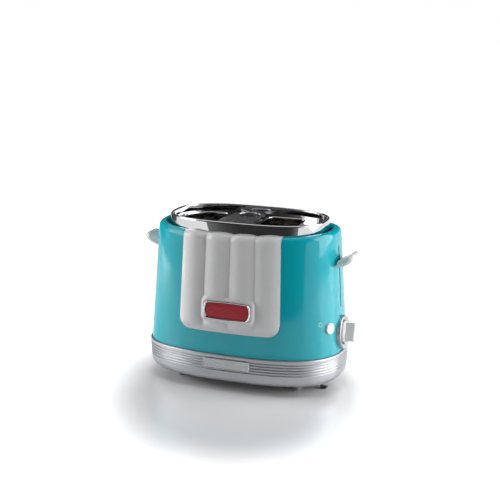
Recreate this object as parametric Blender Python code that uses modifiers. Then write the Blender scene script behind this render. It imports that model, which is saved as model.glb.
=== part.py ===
"""A retro hot dog grill: oval moulded shell, ribbed base ring, two bun slots and a lift-out sausage basket.

Units are metres, +Z is up, -Y is the front with the white panel, +X is the end with the lever and the dial.
The floor is z = 0. Every level and outline below is derived from the named sizes at the top.
"""

import math

import bmesh
import bpy
from mathutils import Matrix, Vector

# Plan outline: every ring round the body is a superellipse of this power
PLAN_POWER = 2.75
PLAN_SEGMENTS = 48

# Clearances
SEAT_GAP = 0.0003
RUNNING_GAP = 0.0005
CUT_OVERRUN = 0.010

# Base ring
RING_HALF_LENGTH = 0.1246
RING_HALF_WIDTH = 0.0774
RING_BOTTOM = 0.0110
BASE_TOP = 0.0469
RING_WALL = 0.0025
RING_TAPER = 0.0012
RING_ROUND_START = 0.0235
RING_ROUND_DEPTH = 0.0130
RING_ROUND_POWER = 2.4
RING_FLANGE_WIDTH = 0.0175
RING_FLANGE_THICKNESS = 0.0020
RING_LEDGE_WIDTH = 0.0110
RING_LEDGE_THICKNESS = 0.0025
LOCATING_LIP_HEIGHT = 0.0040
LOCATING_LIP_WALL = 0.0020
GROOVE_COUNT = 5
GROOVE_TOP_MARGIN = 0.0054
GROOVE_PITCH = 0.00345
GROOVE_HALF_WIDTH = 0.0008
GROOVE_DEPTH = 0.0009

# Shell
SHELL_BASE_INSET = 0.0018
SHELL_TOP_HALF_LENGTH = 0.1130
SHELL_TOP_HALF_WIDTH = 0.0652
SHELL_TOP = 0.1920
SHELL_WALL = 0.0025
SHOULDER_RADIUS = 0.0070
LIP_RADIUS = 0.0009
LIP_DEPTH = 0.0060
LIP_WALL = 0.0020
SADDLE_RISE = 0.0046
SHELL_WALL_SHARES = (0.0, 1.0)
SHOULDER_STEPS = 4
shell_base_half_length = RING_HALF_LENGTH - SHELL_BASE_INSET
shell_base_half_width = RING_HALF_WIDTH - SHELL_BASE_INSET

# The dial's level and the end wall there, which the control bay is measured from
DIAL_ABOVE_BASE = 0.0222
DIAL_LEVEL = BASE_TOP + DIAL_ABOVE_BASE
dial_share = DIAL_ABOVE_BASE / (SHELL_TOP - BASE_TOP)
dial_wall_x = shell_base_half_length + (SHELL_TOP_HALF_LENGTH - shell_base_half_length) * dial_share

# Front panel
PANEL_BASE_MARGIN = 0.0271
PANEL_BOTTOM = BASE_TOP + PANEL_BASE_MARGIN
PANEL_BOTTOM_HALF_LENGTH = 0.0648
PANEL_TOP_HALF_LENGTH = 0.0618
PANEL_CORNER_RADIUS = 0.0150
PANEL_RIBS = 4
PANEL_COLUMNS_PER_RIB = 7
RIB_HEIGHT = 0.0026
RIB_POWER = 3.0
RIB_FOOT_MARGIN = 0.0030
RIB_FOOT = PANEL_BOTTOM + RIB_FOOT_MARGIN
RIB_FOOT_FADE = 0.0075
RIB_HEAD_SHARE = 0.55
PANEL_EDGE_PROUD = 0.0002
FRONT_CUT_SHARE = 0.58
PANEL_CORNER_STEPS = 4

# Badge boss, badge and bare plate
BADGE_ABOVE_RIBS = 0.0250
BADGE_CENTRE = RIB_FOOT + BADGE_ABOVE_RIBS
BADGE_HALF_LENGTH = 0.0303
BADGE_CORNER_HALF_LENGTH = 0.0276
BADGE_HALF_HEIGHT = 0.0110
BADGE_CROWN = 0.0008
BADGE_THICKNESS = 0.0022
BADGE_RIM = 0.0020
BADGE_INSERT_THICKNESS = 0.0014
BOSS_MARGIN = 0.0025
BOSS_PROUD = 0.0030
BOSS_RAMP = 0.0040
PLATE_BELOW_TOP = 0.0114
PLATE_CENTRE = BASE_TOP - PLATE_BELOW_TOP
PLATE_HALF_LENGTH = 0.0305
PLATE_CORNER_HALF_LENGTH = 0.0285
PLATE_HALF_HEIGHT = 0.0070
PLATE_THICKNESS = 0.0014

# Base pan, feet, cord hooks and gland
PAN_THICKNESS = 0.0020
FOOT_END_INSET = 0.0476
FOOT_X = RING_HALF_LENGTH - FOOT_END_INSET
FOOT_SIDE_INSET = 0.0429
FOOT_Y = RING_HALF_WIDTH - FOOT_SIDE_INSET
FOOT_RADIUS = 0.0056
FOOT_SOLE_RADIUS = 0.0050
HOOK_END_INSET = 0.0208
HOOK_X = RING_HALF_LENGTH - HOOK_END_INSET
HOOK_SIDE_SHARE = 0.3105
HOOK_Y = (RING_HALF_WIDTH - RING_FLANGE_WIDTH) * HOOK_SIDE_SHARE
HOOK_WIDTH = 0.0070
HOOK_THICKNESS = 0.0022
HOOK_REACH = 0.0080
HOOK_CLEARANCE = 0.0010
GLAND_END_INSET = 0.0326
GLAND_X = RING_HALF_LENGTH - GLAND_END_INSET
GLAND_Y = 0.0120
GLAND_NECK_RADIUS = 0.0052
GLAND_FLANGE_RADIUS = 0.0070
GLAND_BORE_RADIUS = 0.0034
GLAND_FLANGE_THICKNESS = 0.0015

# Chrome rim and steel deck
RIM_END_INSET = 0.0142
RIM_HALF_LENGTH = SHELL_TOP_HALF_LENGTH - RIM_END_INSET
RIM_SIDE_INSET = 0.0082
RIM_HALF_WIDTH = SHELL_TOP_HALF_WIDTH - RIM_SIDE_INSET
RIM_ABOVE_SHELL = 0.0141
RIM_TOP = SHELL_TOP + RIM_ABOVE_SHELL
RIM_WIDTH = 0.0040
RIM_WALL = 0.0020
RIM_LEDGE_WIDTH = 0.0056
RIM_LEDGE_THICKNESS = 0.0015
DECK_BELOW_RIM = 0.0099
DECK_TOP = RIM_TOP - DECK_BELOW_RIM
DECK_THICKNESS = 0.0012
SLOT_SIDE_INSET = 0.0170
SLOT_HALF_WIDTH = RIM_HALF_WIDTH - SLOT_SIDE_INSET
SLOT_CORNER_RADIUS = 0.0080
SLOT_RIM_MARGIN = 0.0050
SLOT_CURVE_STEPS = 14
SLOT_FLANGE_DEPTH = 0.0090
SLOT_FLANGE_WALL = 0.0010
BASKET_X = -0.0140
BASKET_HALF_LENGTH = 0.0190
BASKET_SIDE_INSET = 0.0078
BASKET_HALF_WIDTH = RIM_HALF_WIDTH - BASKET_SIDE_INSET
BASKET_CORNER_RADIUS = 0.0160

# Collar and chassis that carry the chamber
COLLAR_BELOW_SHELL = 0.0083
COLLAR_TOP = SHELL_TOP - COLLAR_BELOW_SHELL
COLLAR_THICKNESS = 0.0032
CHASSIS_THICKNESS = 0.0012
CHASSIS_INSET = 0.0078

# Toasting chamber
CHAMBER_END_INSET = 0.0070
CHAMBER_LEFT = CHAMBER_END_INSET - RIM_HALF_LENGTH
CONTROL_BAY_LENGTH = 0.0549
CHAMBER_RIGHT = dial_wall_x - CONTROL_BAY_LENGTH
CHAMBER_SIDE_INSET = 0.0049
CHAMBER_HALF_WIDTH = RIM_HALF_WIDTH - CHAMBER_SIDE_INSET
CHAMBER_CORNER_RADIUS = 0.0260
SHEET_THICKNESS = 0.0008
CHUTE_MARGIN = 0.0060
BULKHEAD_OVERHANG = 0.0024
BULKHEAD_HALF_WIDTH = CHAMBER_HALF_WIDTH + BULKHEAD_OVERHANG
BOARD_THICKNESS = 0.0010
BOARD_BASKET_GAP_LEFT = 0.0050
BOARD_BASKET_GAP_RIGHT = 0.0040
BOARD_INNER_LEFT_X = BASKET_X - BASKET_HALF_LENGTH - BOARD_BASKET_GAP_LEFT
BOARD_INNER_RIGHT_X = BASKET_X + BASKET_HALF_LENGTH + BOARD_BASKET_GAP_RIGHT
SLOT_BOARD_GAP_LEFT = 0.0030
SLOT_BOARD_GAP_RIGHT = 0.0035
SLOT_END_GAP = 0.0054
LEFT_SLOT_RIGHT_X = BOARD_INNER_LEFT_X - SLOT_BOARD_GAP_LEFT
RIGHT_SLOT_X = (BOARD_INNER_RIGHT_X + SLOT_BOARD_GAP_RIGHT, CHAMBER_RIGHT - SLOT_END_GAP)
OUTER_BOARD_MARGIN = 0.0011
OUTER_BOARD_HALF_WIDTH = CHAMBER_HALF_WIDTH - CHAMBER_CORNER_RADIUS - OUTER_BOARD_MARGIN
BEAM_SLOT_WIDTH = 0.0045
GUARD_WIRE = 0.0012
GUARD_RAIL = 0.0020
GUARD_WIRES = 7
GUARD_OFFSET = 0.0022

# Carriage
LEVER_TRAVEL_DOWN = 0.0520
LEVER_TRAVEL_UP = 0.0150
PLATFORM_THICKNESS = 0.0010
PLATFORM_SIDE_MARGIN = 0.0060
PLATFORM_HALF_WIDTH = SLOT_HALF_WIDTH - PLATFORM_SIDE_MARGIN
PLATFORM_MARGIN = 0.0045
PLATFORM_CORNER_RADIUS = 0.0060
BEAM_HEIGHT = 0.0080
BEAM_FLOOR_CLEARANCE = 0.0080
BEAM_THICKNESS = 0.0015
BEAM_CORNER_RADIUS = 0.0015
RISER_GAP = 0.0021
RISER_X = CHAMBER_RIGHT + RISER_GAP
RISER_WIDTH = 0.0050
LEVER_BELOW_SHELL_TOP = 0.0346
LEVER_LEVEL = SHELL_TOP - LEVER_BELOW_SHELL_TOP
ARM_HEIGHT = 0.0050
ROD_FROM_CHAMBER = 0.0166
ROD_X = CHAMBER_RIGHT + ROD_FROM_CHAMBER
ROD_Y = 0.0240
LUG_THICKNESS = 0.0012
LUG_ROD_MARGIN = 0.0060
LUG_HALF_WIDTH = ROD_Y + LUG_ROD_MARGIN
LUG_END_MARGIN = 0.0090
LUG_END = ROD_X + LUG_END_MARGIN
ROD_RADIUS = 0.0020
SPRING_RADIUS = 0.0036
SPRING_WIRE_RADIUS = 0.0005
SPRING_TURNS = 6
SPRING_POINTS_PER_TURN = 6
KEEPER_HALF_SIZE = 0.0070
KEEPER_THICKNESS = 0.0020
MAGNET_COIL_RADIUS = 0.0085
MAGNET_CORE_RADIUS = 0.0040
MAGNET_YOKE_THICKNESS = 0.0020
MAGNET_HEIGHT = 0.0207

# Sausage basket
WELL_SIDE_MARGIN = 0.0152
WELL_Y = BASKET_HALF_WIDTH - WELL_SIDE_MARGIN
WELL_RADIUS = 0.0138
WELL_WALL = 0.0008
WELL_BOTTOM = 0.0580
WELL_BASE_BAND = 0.0080
WELL_HEAD_BAND = 0.0160
WELL_WINDOW_WIDTH = 0.0090
BASKET_FLANGE = 0.0020
BASKET_FLANGE_THICKNESS = 0.0010
LIFT_DISC_RADIUS = 0.0110
LIFT_ARM_WIDTH = 0.0060

# Paddle shape shared by the lift lever and the side handle
PADDLE_REACH = 0.0200
PADDLE_HALF_WIDTH = 0.0180
PADDLE_HALF_THICKNESS = 0.0042
PADDLE_RISE = 0.0080
PADDLE_PLAN_RADIUS = 0.0090
PADDLE_EDGE_RADIUS = 0.0045
PADDLE_THIN_SHARE = 0.12
LEVER_ROOT_SINK = 0.00085
ARM_SEAT_DEPTH = 0.0045
HANDLE_LIFT = 0.0050
HANDLE_REACH = 0.02086
LEVER_SLOT_WIDTH = 0.0028
LEVER_SLOT_MARGIN = 0.0016

# Timer dial
BEZEL_RADIUS = 0.0206
BEZEL_INNER_RADIUS = 0.0146
BEZEL_PROUD = 0.0048
BEZEL_SPIGOT_RADIUS = 0.0170
BEZEL_SPIGOT_DEPTH = 0.0050
BEZEL_EDGE = 0.0012
DIAL_FLANGE_RADIUS = 0.0134
DIAL_FLANGE_THICKNESS = 0.0030
DIAL_BASE_PROUD = 0.0016
DIAL_GRIP_HALF_WIDTH = 0.0048
DIAL_REACH = 0.0170
DIAL_GRIP_BEVEL = 0.0010
DIAL_REST_ANGLE = math.radians(-30)
SHAFT_RADIUS = 0.0030
SHAFT_SEAT_DEPTH = 0.0080
TIMER_RADIUS = 0.0120
TIMER_INSET = 0.0093

# Stop button
BUTTON_ABOVE_DIAL = 0.0129
BUTTON_LEVEL = DIAL_LEVEL + BUTTON_ABOVE_DIAL
BUTTON_Y = -0.0331
BUTTON_RADIUS = 0.0070
BUTTON_PROUD = 0.0025
BUTTON_CROWN = 0.0006
BUTTON_SKIRT_RADIUS = 0.0083
BUTTON_SKIRT_DEPTH = 0.0044
BUTTON_SKIRT_THICKNESS = 0.0010
BUTTON_STEM_RADIUS = 0.0020
BUTTON_STEM_LENGTH = 0.0160

# Control board
BOARD_ROD_GAP = 0.0100
BOARD_X = ROD_X + BOARD_ROD_GAP
BOARD_PCB_THICKNESS = 0.0016
BOARD_HALF_WIDTH = 0.0340
BOARD_ABOVE_BUTTON = 0.0080
BOARD_TOP = BUTTON_LEVEL + BOARD_ABOVE_BUTTON
SWITCH_SIZE = 0.0070
SWITCH_DEPTH = 0.0030

# Crumb tray
TRAY_LEFT_MARGIN = 0.0203
TRAY_RIGHT_MARGIN = 0.0189
TRAY_X = (CHAMBER_LEFT + TRAY_LEFT_MARGIN, CHAMBER_RIGHT - TRAY_RIGHT_MARGIN)
TRAY_BACK_INSET = 0.0314
TRAY_BACK_Y = TRAY_BACK_INSET - RING_HALF_WIDTH
TRAY_FLOOR = 0.0172
TRAY_SHEET = 0.0010
TRAY_WALL_HEIGHT = 0.0070
TRAY_FACE_DROP = 0.0006
TRAY_FACE_BOTTOM = TRAY_FLOOR - TRAY_FACE_DROP
TRAY_FACE_HEIGHT = 0.0092
TRAY_FACE_THICKNESS = 0.0026
TRAY_COLUMNS = 12
TRAY_PULL_HALF_LENGTH = 0.0200
TRAY_PULL_PROUD = 0.0028
TRAY_PULL_THICKNESS = 0.0022
RUNNER_WIDTH = 0.0030
RUNNER_INSET = 0.0080


def lerp(low, high, share):
    return low + (high - low) * share


# Levels and sizes worked out from those above
shoulder_level = SHELL_TOP - SHOULDER_RADIUS
chassis_bottom = BASE_TOP + SEAT_GAP
chassis_top = chassis_bottom + CHASSIS_THICKNESS
collar_bottom = COLLAR_TOP - COLLAR_THICKNESS
chamber_bottom = chassis_top + SEAT_GAP
chamber_top = collar_bottom - SEAT_GAP
pan_bottom = RING_BOTTOM + RING_FLANGE_THICKNESS + SEAT_GAP
pan_top = pan_bottom + PAN_THICKNESS
beam_bottom = chamber_bottom + BEAM_FLOOR_CLEARANCE + LEVER_TRAVEL_DOWN
beam_top = beam_bottom + BEAM_HEIGHT
platform_top = beam_top + SEAT_GAP + PLATFORM_THICKNESS
magnet_top = chamber_bottom + MAGNET_HEIGHT
keeper_bottom = magnet_top + SEAT_GAP + LEVER_TRAVEL_DOWN
lug_level = keeper_bottom + KEEPER_THICKNESS + SEAT_GAP
left_slot_end = RIM_WIDTH + SLOT_RIM_MARGIN - RIM_HALF_LENGTH
lever_ends = [(LEVER_LEVEL + move - BASE_TOP) / (SHELL_TOP - BASE_TOP) for move in (-LEVER_TRAVEL_DOWN, LEVER_TRAVEL_UP)]
widest_wall_x = max(lerp(shell_base_half_length, SHELL_TOP_HALF_LENGTH, share) for share in lever_ends)
lever_root_x = widest_wall_x - LEVER_ROOT_SINK
lever_tip_x = lever_root_x + PADDLE_REACH
arm_end = lever_root_x + ARM_SEAT_DEPTH

# Placements: local x, y, z columns as world directions
FACING_RIGHT = Matrix(((0, 0, 1), (1, 0, 0), (0, 1, 0))).to_4x4()
FACING_FRONT = Matrix(((1, 0, 0), (0, 0, -1), (0, 1, 0))).to_4x4()

for old_object in list(bpy.data.objects):
    bpy.data.objects.remove(old_object, do_unlink=True)

model = bpy.data.collections.new("HotDogGrill")
cutters = bpy.data.collections.new("Cutters")
bpy.context.scene.collection.children.link(model)
bpy.context.scene.collection.children.link(cutters)


def finish(name, colour, roughness, metallic):
    """One plain material for a piece."""
    made = bpy.data.materials.new(name)
    made.use_nodes = True
    shader = made.node_tree.nodes["Principled BSDF"]
    shader.inputs["Base Color"].default_value = (*colour, 1)
    shader.inputs["Roughness"].default_value = roughness
    shader.inputs["Metallic"].default_value = metallic
    made.diffuse_color = (*colour, 1)
    return made


TEAL = finish("teal_gloss", (0.005, 0.38, 0.45), 0.16, 0)
WHITE = finish("white_gloss", (0.78, 0.79, 0.79), 0.22, 0)
RED = finish("red_enamel", (0.42, 0.005, 0.02), 0.2, 0)
SILVER = finish("silver_paint", (0.46, 0.47, 0.49), 0.34, 0.8)
CHROME = finish("chrome", (0.72, 0.72, 0.73), 0.07, 1)
STEEL = finish("steel_sheet", (0.5, 0.5, 0.51), 0.3, 1)
DECK_STEEL = finish("polished_steel", (0.35, 0.35, 0.36), 0.1, 1)
BLACK = finish("black_plastic", (0.02, 0.02, 0.022), 0.45, 0)
RUBBER = finish("grey_rubber", (0.22, 0.22, 0.23), 0.7, 0)
MICA = finish("mica_board", (0.45, 0.38, 0.28), 0.6, 0)
GREEN = finish("circuit_board", (0.02, 0.16, 0.06), 0.5, 0)
COPPER = finish("copper_winding", (0.55, 0.22, 0.1), 0.35, 1)


def place(name, mesh, material, matrix=None):
    """A named piece in the model's collection."""
    mesh.name = name
    made = bpy.data.objects.new(name, mesh)
    model.objects.link(made)
    if matrix is not None:
        made.matrix_world = matrix
    mesh.materials.clear()
    mesh.materials.append(material)
    return made


def to_mesh(bm, sharp_angle=math.radians(35)):
    """Ends a bmesh, with smooth faces and sharp corners."""
    bmesh.ops.recalc_face_normals(bm, faces=bm.faces[:])
    mesh = bpy.data.meshes.new("piece")
    bm.to_mesh(mesh)
    bm.free()
    mesh.shade_smooth()
    mesh.set_sharp_from_angle(angle=sharp_angle)
    return mesh


def cutter(name, mesh, matrix=None):
    """A helper that only cuts or joins."""
    made = bpy.data.objects.new(name, mesh)
    cutters.objects.link(made)
    if matrix is not None:
        made.matrix_world = matrix
    made.hide_render = True
    made.display_type = "WIRE"
    return made


def combine(piece, helper, operation="DIFFERENCE"):
    """An exact Boolean that stays live on the piece."""
    modifier = piece.modifiers.new(helper.name, "BOOLEAN")
    modifier.operation = operation
    modifier.object = helper
    modifier.solver = "EXACT"
    return piece


def smooth_share(share):
    share = min(max(share, 0), 1)
    return share * share * (3 - 2 * share)


def plan_point(half_length, half_width, angle):
    """The point of the superellipse outline at this angle."""
    along, across = math.cos(angle), math.sin(angle)
    x = math.copysign(half_length * abs(along) ** (2 / PLAN_POWER), along)
    y = math.copysign(half_width * abs(across) ** (2 / PLAN_POWER), across)
    return x, y


def plan_reach(x, half_length, half_width):
    """Half the outline's width at this x."""
    return half_width * (1 - min(abs(x) / half_length, 1) ** PLAN_POWER) ** (1 / PLAN_POWER)


def plan_angles():
    return [math.tau * step / PLAN_SEGMENTS for step in range(PLAN_SEGMENTS)]


def loft(loops, closed=False):
    """Faces between loops of equal count. A closed loft meets itself, an open one gets end faces."""
    bm = bmesh.new()
    rows = [[bm.verts.new(point) for point in loop] for loop in loops]
    pairs = list(zip(rows, rows[1:]))
    if closed:
        pairs.append((rows[-1], rows[0]))
    for lower, upper in pairs:
        for here, there in zip(range(len(lower)), [*range(1, len(lower)), 0]):
            bm.faces.new((lower[here], lower[there], upper[there], upper[here]))
    if not closed:
        bm.faces.new(rows[0])
        bm.faces.new(rows[-1])
    return to_mesh(bm)


def plan_loop(half_length, half_width, level):
    return [(*plan_point(half_length, half_width, angle), level) for angle in plan_angles()]


def plan_ring(half_length, half_width, section):
    """A closed section of (inset, level) pairs carried round the outline."""
    return loft([plan_loop(half_length - inset, half_width - inset, level) for inset, level in section], closed=True)


def plan_slab(half_length, half_width, bottom, top):
    """A solid plate with the body's outline."""
    return loft([plan_loop(half_length, half_width, level) for level in (bottom, top)])


def arc(centre_x, centre_y, radius, start, end, steps):
    """Points on an arc, both ends included."""
    angles = [math.radians(lerp(start, end, step / steps)) for step in range(steps + 1)]
    return [(centre_x + radius * math.cos(angle), centre_y + radius * math.sin(angle)) for angle in angles]


def rounded_rectangle(left, right, bottom, top, left_radius, right_radius, steps=5):
    """An anticlockwise outline whose left and right corners have their own radii."""
    return (
        arc(right - right_radius, bottom + right_radius, right_radius, -90, 0, steps)
        + arc(right - right_radius, top - right_radius, right_radius, 0, 90, steps)
        + arc(left + left_radius, top - left_radius, left_radius, 90, 180, steps)
        + arc(left + left_radius, bottom + left_radius, left_radius, 180, 270, steps)
    )


def plate_mesh(outlines, bottom, top):
    """A flat plate from closed outlines, the first one its edge and the others its holes."""
    curve = bpy.data.curves.new("outline", "CURVE")
    curve.dimensions = "2D"
    curve.fill_mode = "BOTH"
    curve.extrude = (top - bottom) / 2
    for outline in outlines:
        spline = curve.splines.new("POLY")
        spline.points.add(len(outline) - 1)
        for point, (x, y) in zip(spline.points, outline):
            point.co = (x, y, 0, 1)
        spline.use_cyclic_u = True
    guide = bpy.data.objects.new("outline", curve)
    cutters.objects.link(guide)
    mesh = bpy.data.meshes.new_from_object(guide.evaluated_get(bpy.context.evaluated_depsgraph_get()))
    bpy.data.objects.remove(guide, do_unlink=True)
    bm = bmesh.new()
    bm.from_mesh(mesh)
    bmesh.ops.remove_doubles(bm, verts=bm.verts[:], dist=SEAT_GAP / 10)
    bmesh.ops.translate(bm, verts=bm.verts[:], vec=(0, 0, (top + bottom) / 2))
    return to_mesh(bm)


def box_mesh(low, high, bevel=0):
    """A box between two corners."""
    bm = bmesh.new()
    bmesh.ops.create_cube(bm, size=1)
    size = Vector(high) - Vector(low)
    bmesh.ops.scale(bm, verts=bm.verts[:], vec=size)
    bmesh.ops.translate(bm, verts=bm.verts[:], vec=(Vector(low) + Vector(high)) / 2)
    if bevel:
        bmesh.ops.bevel(bm, geom=bm.edges[:], offset=bevel, segments=2, profile=0.5, affect="EDGES")
    return to_mesh(bm)


def cylinder_mesh(radius, bottom, top, sides=24, top_radius=None):
    """A capped cylinder or cone along local z."""
    bm = bmesh.new()
    end = radius if top_radius is None else top_radius
    bmesh.ops.create_cone(bm, cap_ends=True, segments=sides, radius1=radius, radius2=end, depth=top - bottom)
    bmesh.ops.translate(bm, verts=bm.verts[:], vec=(0, 0, (top + bottom) / 2))
    return to_mesh(bm)


def turned(name, profile, material, matrix, steps=24, closed=False):
    """A profile of (radius, height) turned about local z. It runs down its outer side."""
    mesh = bpy.data.meshes.new(name)
    last = len(profile) - 1
    edges = [(step, step + 1) for step in range(last)] + ([(last, 0)] if closed else [])
    mesh.from_pydata([(radius, 0, height) for radius, height in profile], edges, [])
    made = place(name, mesh, material, matrix)
    spin = made.modifiers.new("turn", "SCREW")
    spin.steps = spin.render_steps = steps
    spin.use_merge_vertices = True
    spin.merge_threshold = SEAT_GAP / 10
    spin.use_smooth_shade = True
    return made


def tube(name, points, radius, material, resolution=2):
    """A round wire along points, with closed ends."""
    curve = bpy.data.curves.new(name, "CURVE")
    curve.dimensions = "3D"
    curve.bevel_depth = radius
    curve.bevel_resolution = resolution
    curve.use_fill_caps = True
    spline = curve.splines.new("POLY")
    spline.points.add(len(points) - 1)
    for point, position in zip(spline.points, points):
        point.co = (*position, 1)
    curve.materials.append(material)
    made = bpy.data.objects.new(name, curve)
    model.objects.link(made)
    return made


def joint_empty(name, location, pieces):
    """An empty on a joint's axis that carries the pieces which move about it."""
    empty = bpy.data.objects.new(name, None)
    model.objects.link(empty)
    empty.location = location
    for piece in pieces:
        piece.parent = empty
        piece.matrix_parent_inverse = Matrix.Translation(location).inverted()


def shell_half(level):
    """Half length and half width of the shell's outer wall at a level."""
    share = (level - BASE_TOP) / (SHELL_TOP - BASE_TOP)
    return (
        lerp(shell_base_half_length, SHELL_TOP_HALF_LENGTH, share),
        lerp(shell_base_half_width, SHELL_TOP_HALF_WIDTH, share),
    )


def saddle(x, level):
    """How far the wall's upper part is drawn up towards the two ends."""
    share = min(max((level - BASE_TOP) / (shoulder_level - BASE_TOP), 0), 1)
    return SADDLE_RISE * share * (x / SHELL_TOP_HALF_LENGTH) ** 2


def shoulder_section():
    """Outer (inset, level, lean) from the end of the wall over the shoulder and down the lip."""
    points = []
    for step in range(1, SHOULDER_STEPS + 1):
        turn = math.radians(90) * step / SHOULDER_STEPS
        inset = SHOULDER_RADIUS * (1 - math.cos(turn))
        points.append((inset, shoulder_level + SHOULDER_RADIUS * math.sin(turn), turn))
    top = math.radians(90)
    points.append((SHOULDER_RADIUS + LIP_RADIUS * math.sin(top / 2), SHELL_TOP - LIP_RADIUS * (1 - math.cos(top / 2)), top))
    points.append((SHOULDER_RADIUS + LIP_RADIUS, SHELL_TOP - LIP_RADIUS, top))
    points.append((SHOULDER_RADIUS + LIP_RADIUS, SHELL_TOP - LIP_DEPTH, top))
    return points


def inner_section():
    """Inner (inset, level) from the lip's foot back up and down to the end of the wall."""
    lip_inset = SHOULDER_RADIUS + LIP_RADIUS - LIP_WALL
    radius = SHOULDER_RADIUS - SHELL_WALL
    top_turn = math.acos((SHOULDER_RADIUS - lip_inset) / radius)
    points = [(lip_inset, SHELL_TOP - LIP_DEPTH)]
    for share in (1, 0.5, 0):
        turn = top_turn * share
        points.append((SHOULDER_RADIUS - radius * math.cos(turn), shoulder_level + radius * math.sin(turn)))
    return points


def shell_loop(inset, level):
    half_length, half_width = shell_half(level)
    points = []
    for angle in plan_angles():
        x, y = plan_point(half_length - inset, half_width - inset, angle)
        points.append((x, y, level + saddle(x, level)))
    return points


def shell_envelope(grown):
    """The shell's outside as a solid, grown by a clearance, for pieces shaped to sit against it."""
    levels = [lerp(BASE_TOP - CUT_OVERRUN, shoulder_level, share) for share in SHELL_WALL_SHARES]
    return loft([shell_loop(-grown, level) for level in levels])


def make_shell():
    bottom = BASE_TOP + SEAT_GAP
    section = [(0, lerp(bottom, shoulder_level, share)) for share in SHELL_WALL_SHARES]
    section += [(inset, level) for inset, level, _ in shoulder_section()]
    section += inner_section()
    section += [(SHELL_WALL, lerp(bottom, shoulder_level, share)) for share in reversed(SHELL_WALL_SHARES[:-1])]
    shell = place("outer_shell", loft([shell_loop(*station) for station in section], closed=True), TEAL)

    window = plate_mesh([panel_outline(SEAT_GAP)], 0, shell_base_half_width)
    front = Matrix.Translation((0, -shell_base_half_width * FRONT_CUT_SHARE, 0)) @ FACING_FRONT
    combine(shell, cutter("panel_window", window, front))

    slot_bottom = LEVER_LEVEL - ARM_HEIGHT / 2 - LEVER_TRAVEL_DOWN - LEVER_SLOT_MARGIN
    slot_top = LEVER_LEVEL + ARM_HEIGHT / 2 + LEVER_TRAVEL_UP + LEVER_SLOT_MARGIN
    half_slot = LEVER_SLOT_WIDTH / 2
    slot = box_mesh(
        (SHELL_TOP_HALF_LENGTH - CUT_OVERRUN, -half_slot, slot_bottom),
        (shell_base_half_length + CUT_OVERRUN, half_slot, slot_top),
    )
    combine(shell, cutter("lever_slot", slot))
    hole = cylinder_mesh(BEZEL_SPIGOT_RADIUS + SEAT_GAP, -CUT_OVERRUN, CUT_OVERRUN)
    combine(shell, cutter("dial_hole", hole, dial_frame()))
    bore = cylinder_mesh(BUTTON_RADIUS + SEAT_GAP, -CUT_OVERRUN, CUT_OVERRUN)
    combine(shell, cutter("button_hole", bore, button_frame()))
    return shell


def panel_half_length(level):
    share = (level - PANEL_BOTTOM) / (SHELL_TOP - PANEL_BOTTOM)
    return lerp(PANEL_BOTTOM_HALF_LENGTH, PANEL_TOP_HALF_LENGTH, share)


def panel_outline(margin):
    """The panel's window seen from the front, from the lip down round the two lower corners."""
    radius = PANEL_CORNER_RADIUS + margin
    top = SHELL_TOP + SADDLE_RISE + CUT_OVERRUN
    bottom = PANEL_BOTTOM - margin
    foot = panel_half_length(PANEL_BOTTOM + PANEL_CORNER_RADIUS) + margin
    right = arc(foot - radius, bottom + radius, radius, -90, 0, PANEL_CORNER_STEPS)
    right.append((panel_half_length(top) + margin, top))
    return right + [(-x, z) for x, z in reversed(right)]


def panel_bottom(x_share):
    """The panel's lower edge, which rises round its corners."""
    foot = panel_half_length(PANEL_BOTTOM + PANEL_CORNER_RADIUS)
    into_corner = abs(x_share) * foot - (foot - PANEL_CORNER_RADIUS)
    if into_corner <= 0:
        return PANEL_BOTTOM
    return PANEL_BOTTOM + PANEL_CORNER_RADIUS - math.sqrt(max(PANEL_CORNER_RADIUS**2 - into_corner**2, 0))


def panel_relief(x_share, x, level):
    """How far the panel's face stands out of the shell's wall: fluted ribs and the flat badge boss."""
    position = (x_share + 1) / 2 * PANEL_RIBS
    across = 2 * (position - math.floor(min(position, PANEL_RIBS - SEAT_GAP))) - 1
    crest = RIB_HEIGHT * (1 - abs(across) ** RIB_POWER)
    crest *= smooth_share((level - RIB_FOOT) / RIB_FOOT_FADE)
    half_length, half_width = shell_half(level)
    flat = BOSS_PROUD + half_width - plan_reach(x, half_length, half_width)
    boss_length = BADGE_HALF_LENGTH + BOSS_MARGIN - abs(x)
    boss_height = BADGE_HALF_HEIGHT + BOSS_MARGIN - abs(level - BADGE_CENTRE)
    boss = flat * smooth_share(1 + min(boss_length, boss_height) / BOSS_RAMP)
    return PANEL_EDGE_PROUD + max(crest, boss)


def panel_levels():
    """Levels of the panel's rows on the wall, closer together at the ribs' feet and the boss."""
    boss_edge = BADGE_HALF_HEIGHT + BOSS_MARGIN
    return [
        PANEL_BOTTOM,
        RIB_FOOT,
        RIB_FOOT + RIB_FOOT_FADE,
        BADGE_CENTRE - boss_edge - BOSS_RAMP,
        BADGE_CENTRE - boss_edge,
        BADGE_CENTRE + boss_edge,
        BADGE_CENTRE + boss_edge + BOSS_RAMP,
        lerp(BADGE_CENTRE, shoulder_level, 0.6),
        shoulder_level,
    ]


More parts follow.
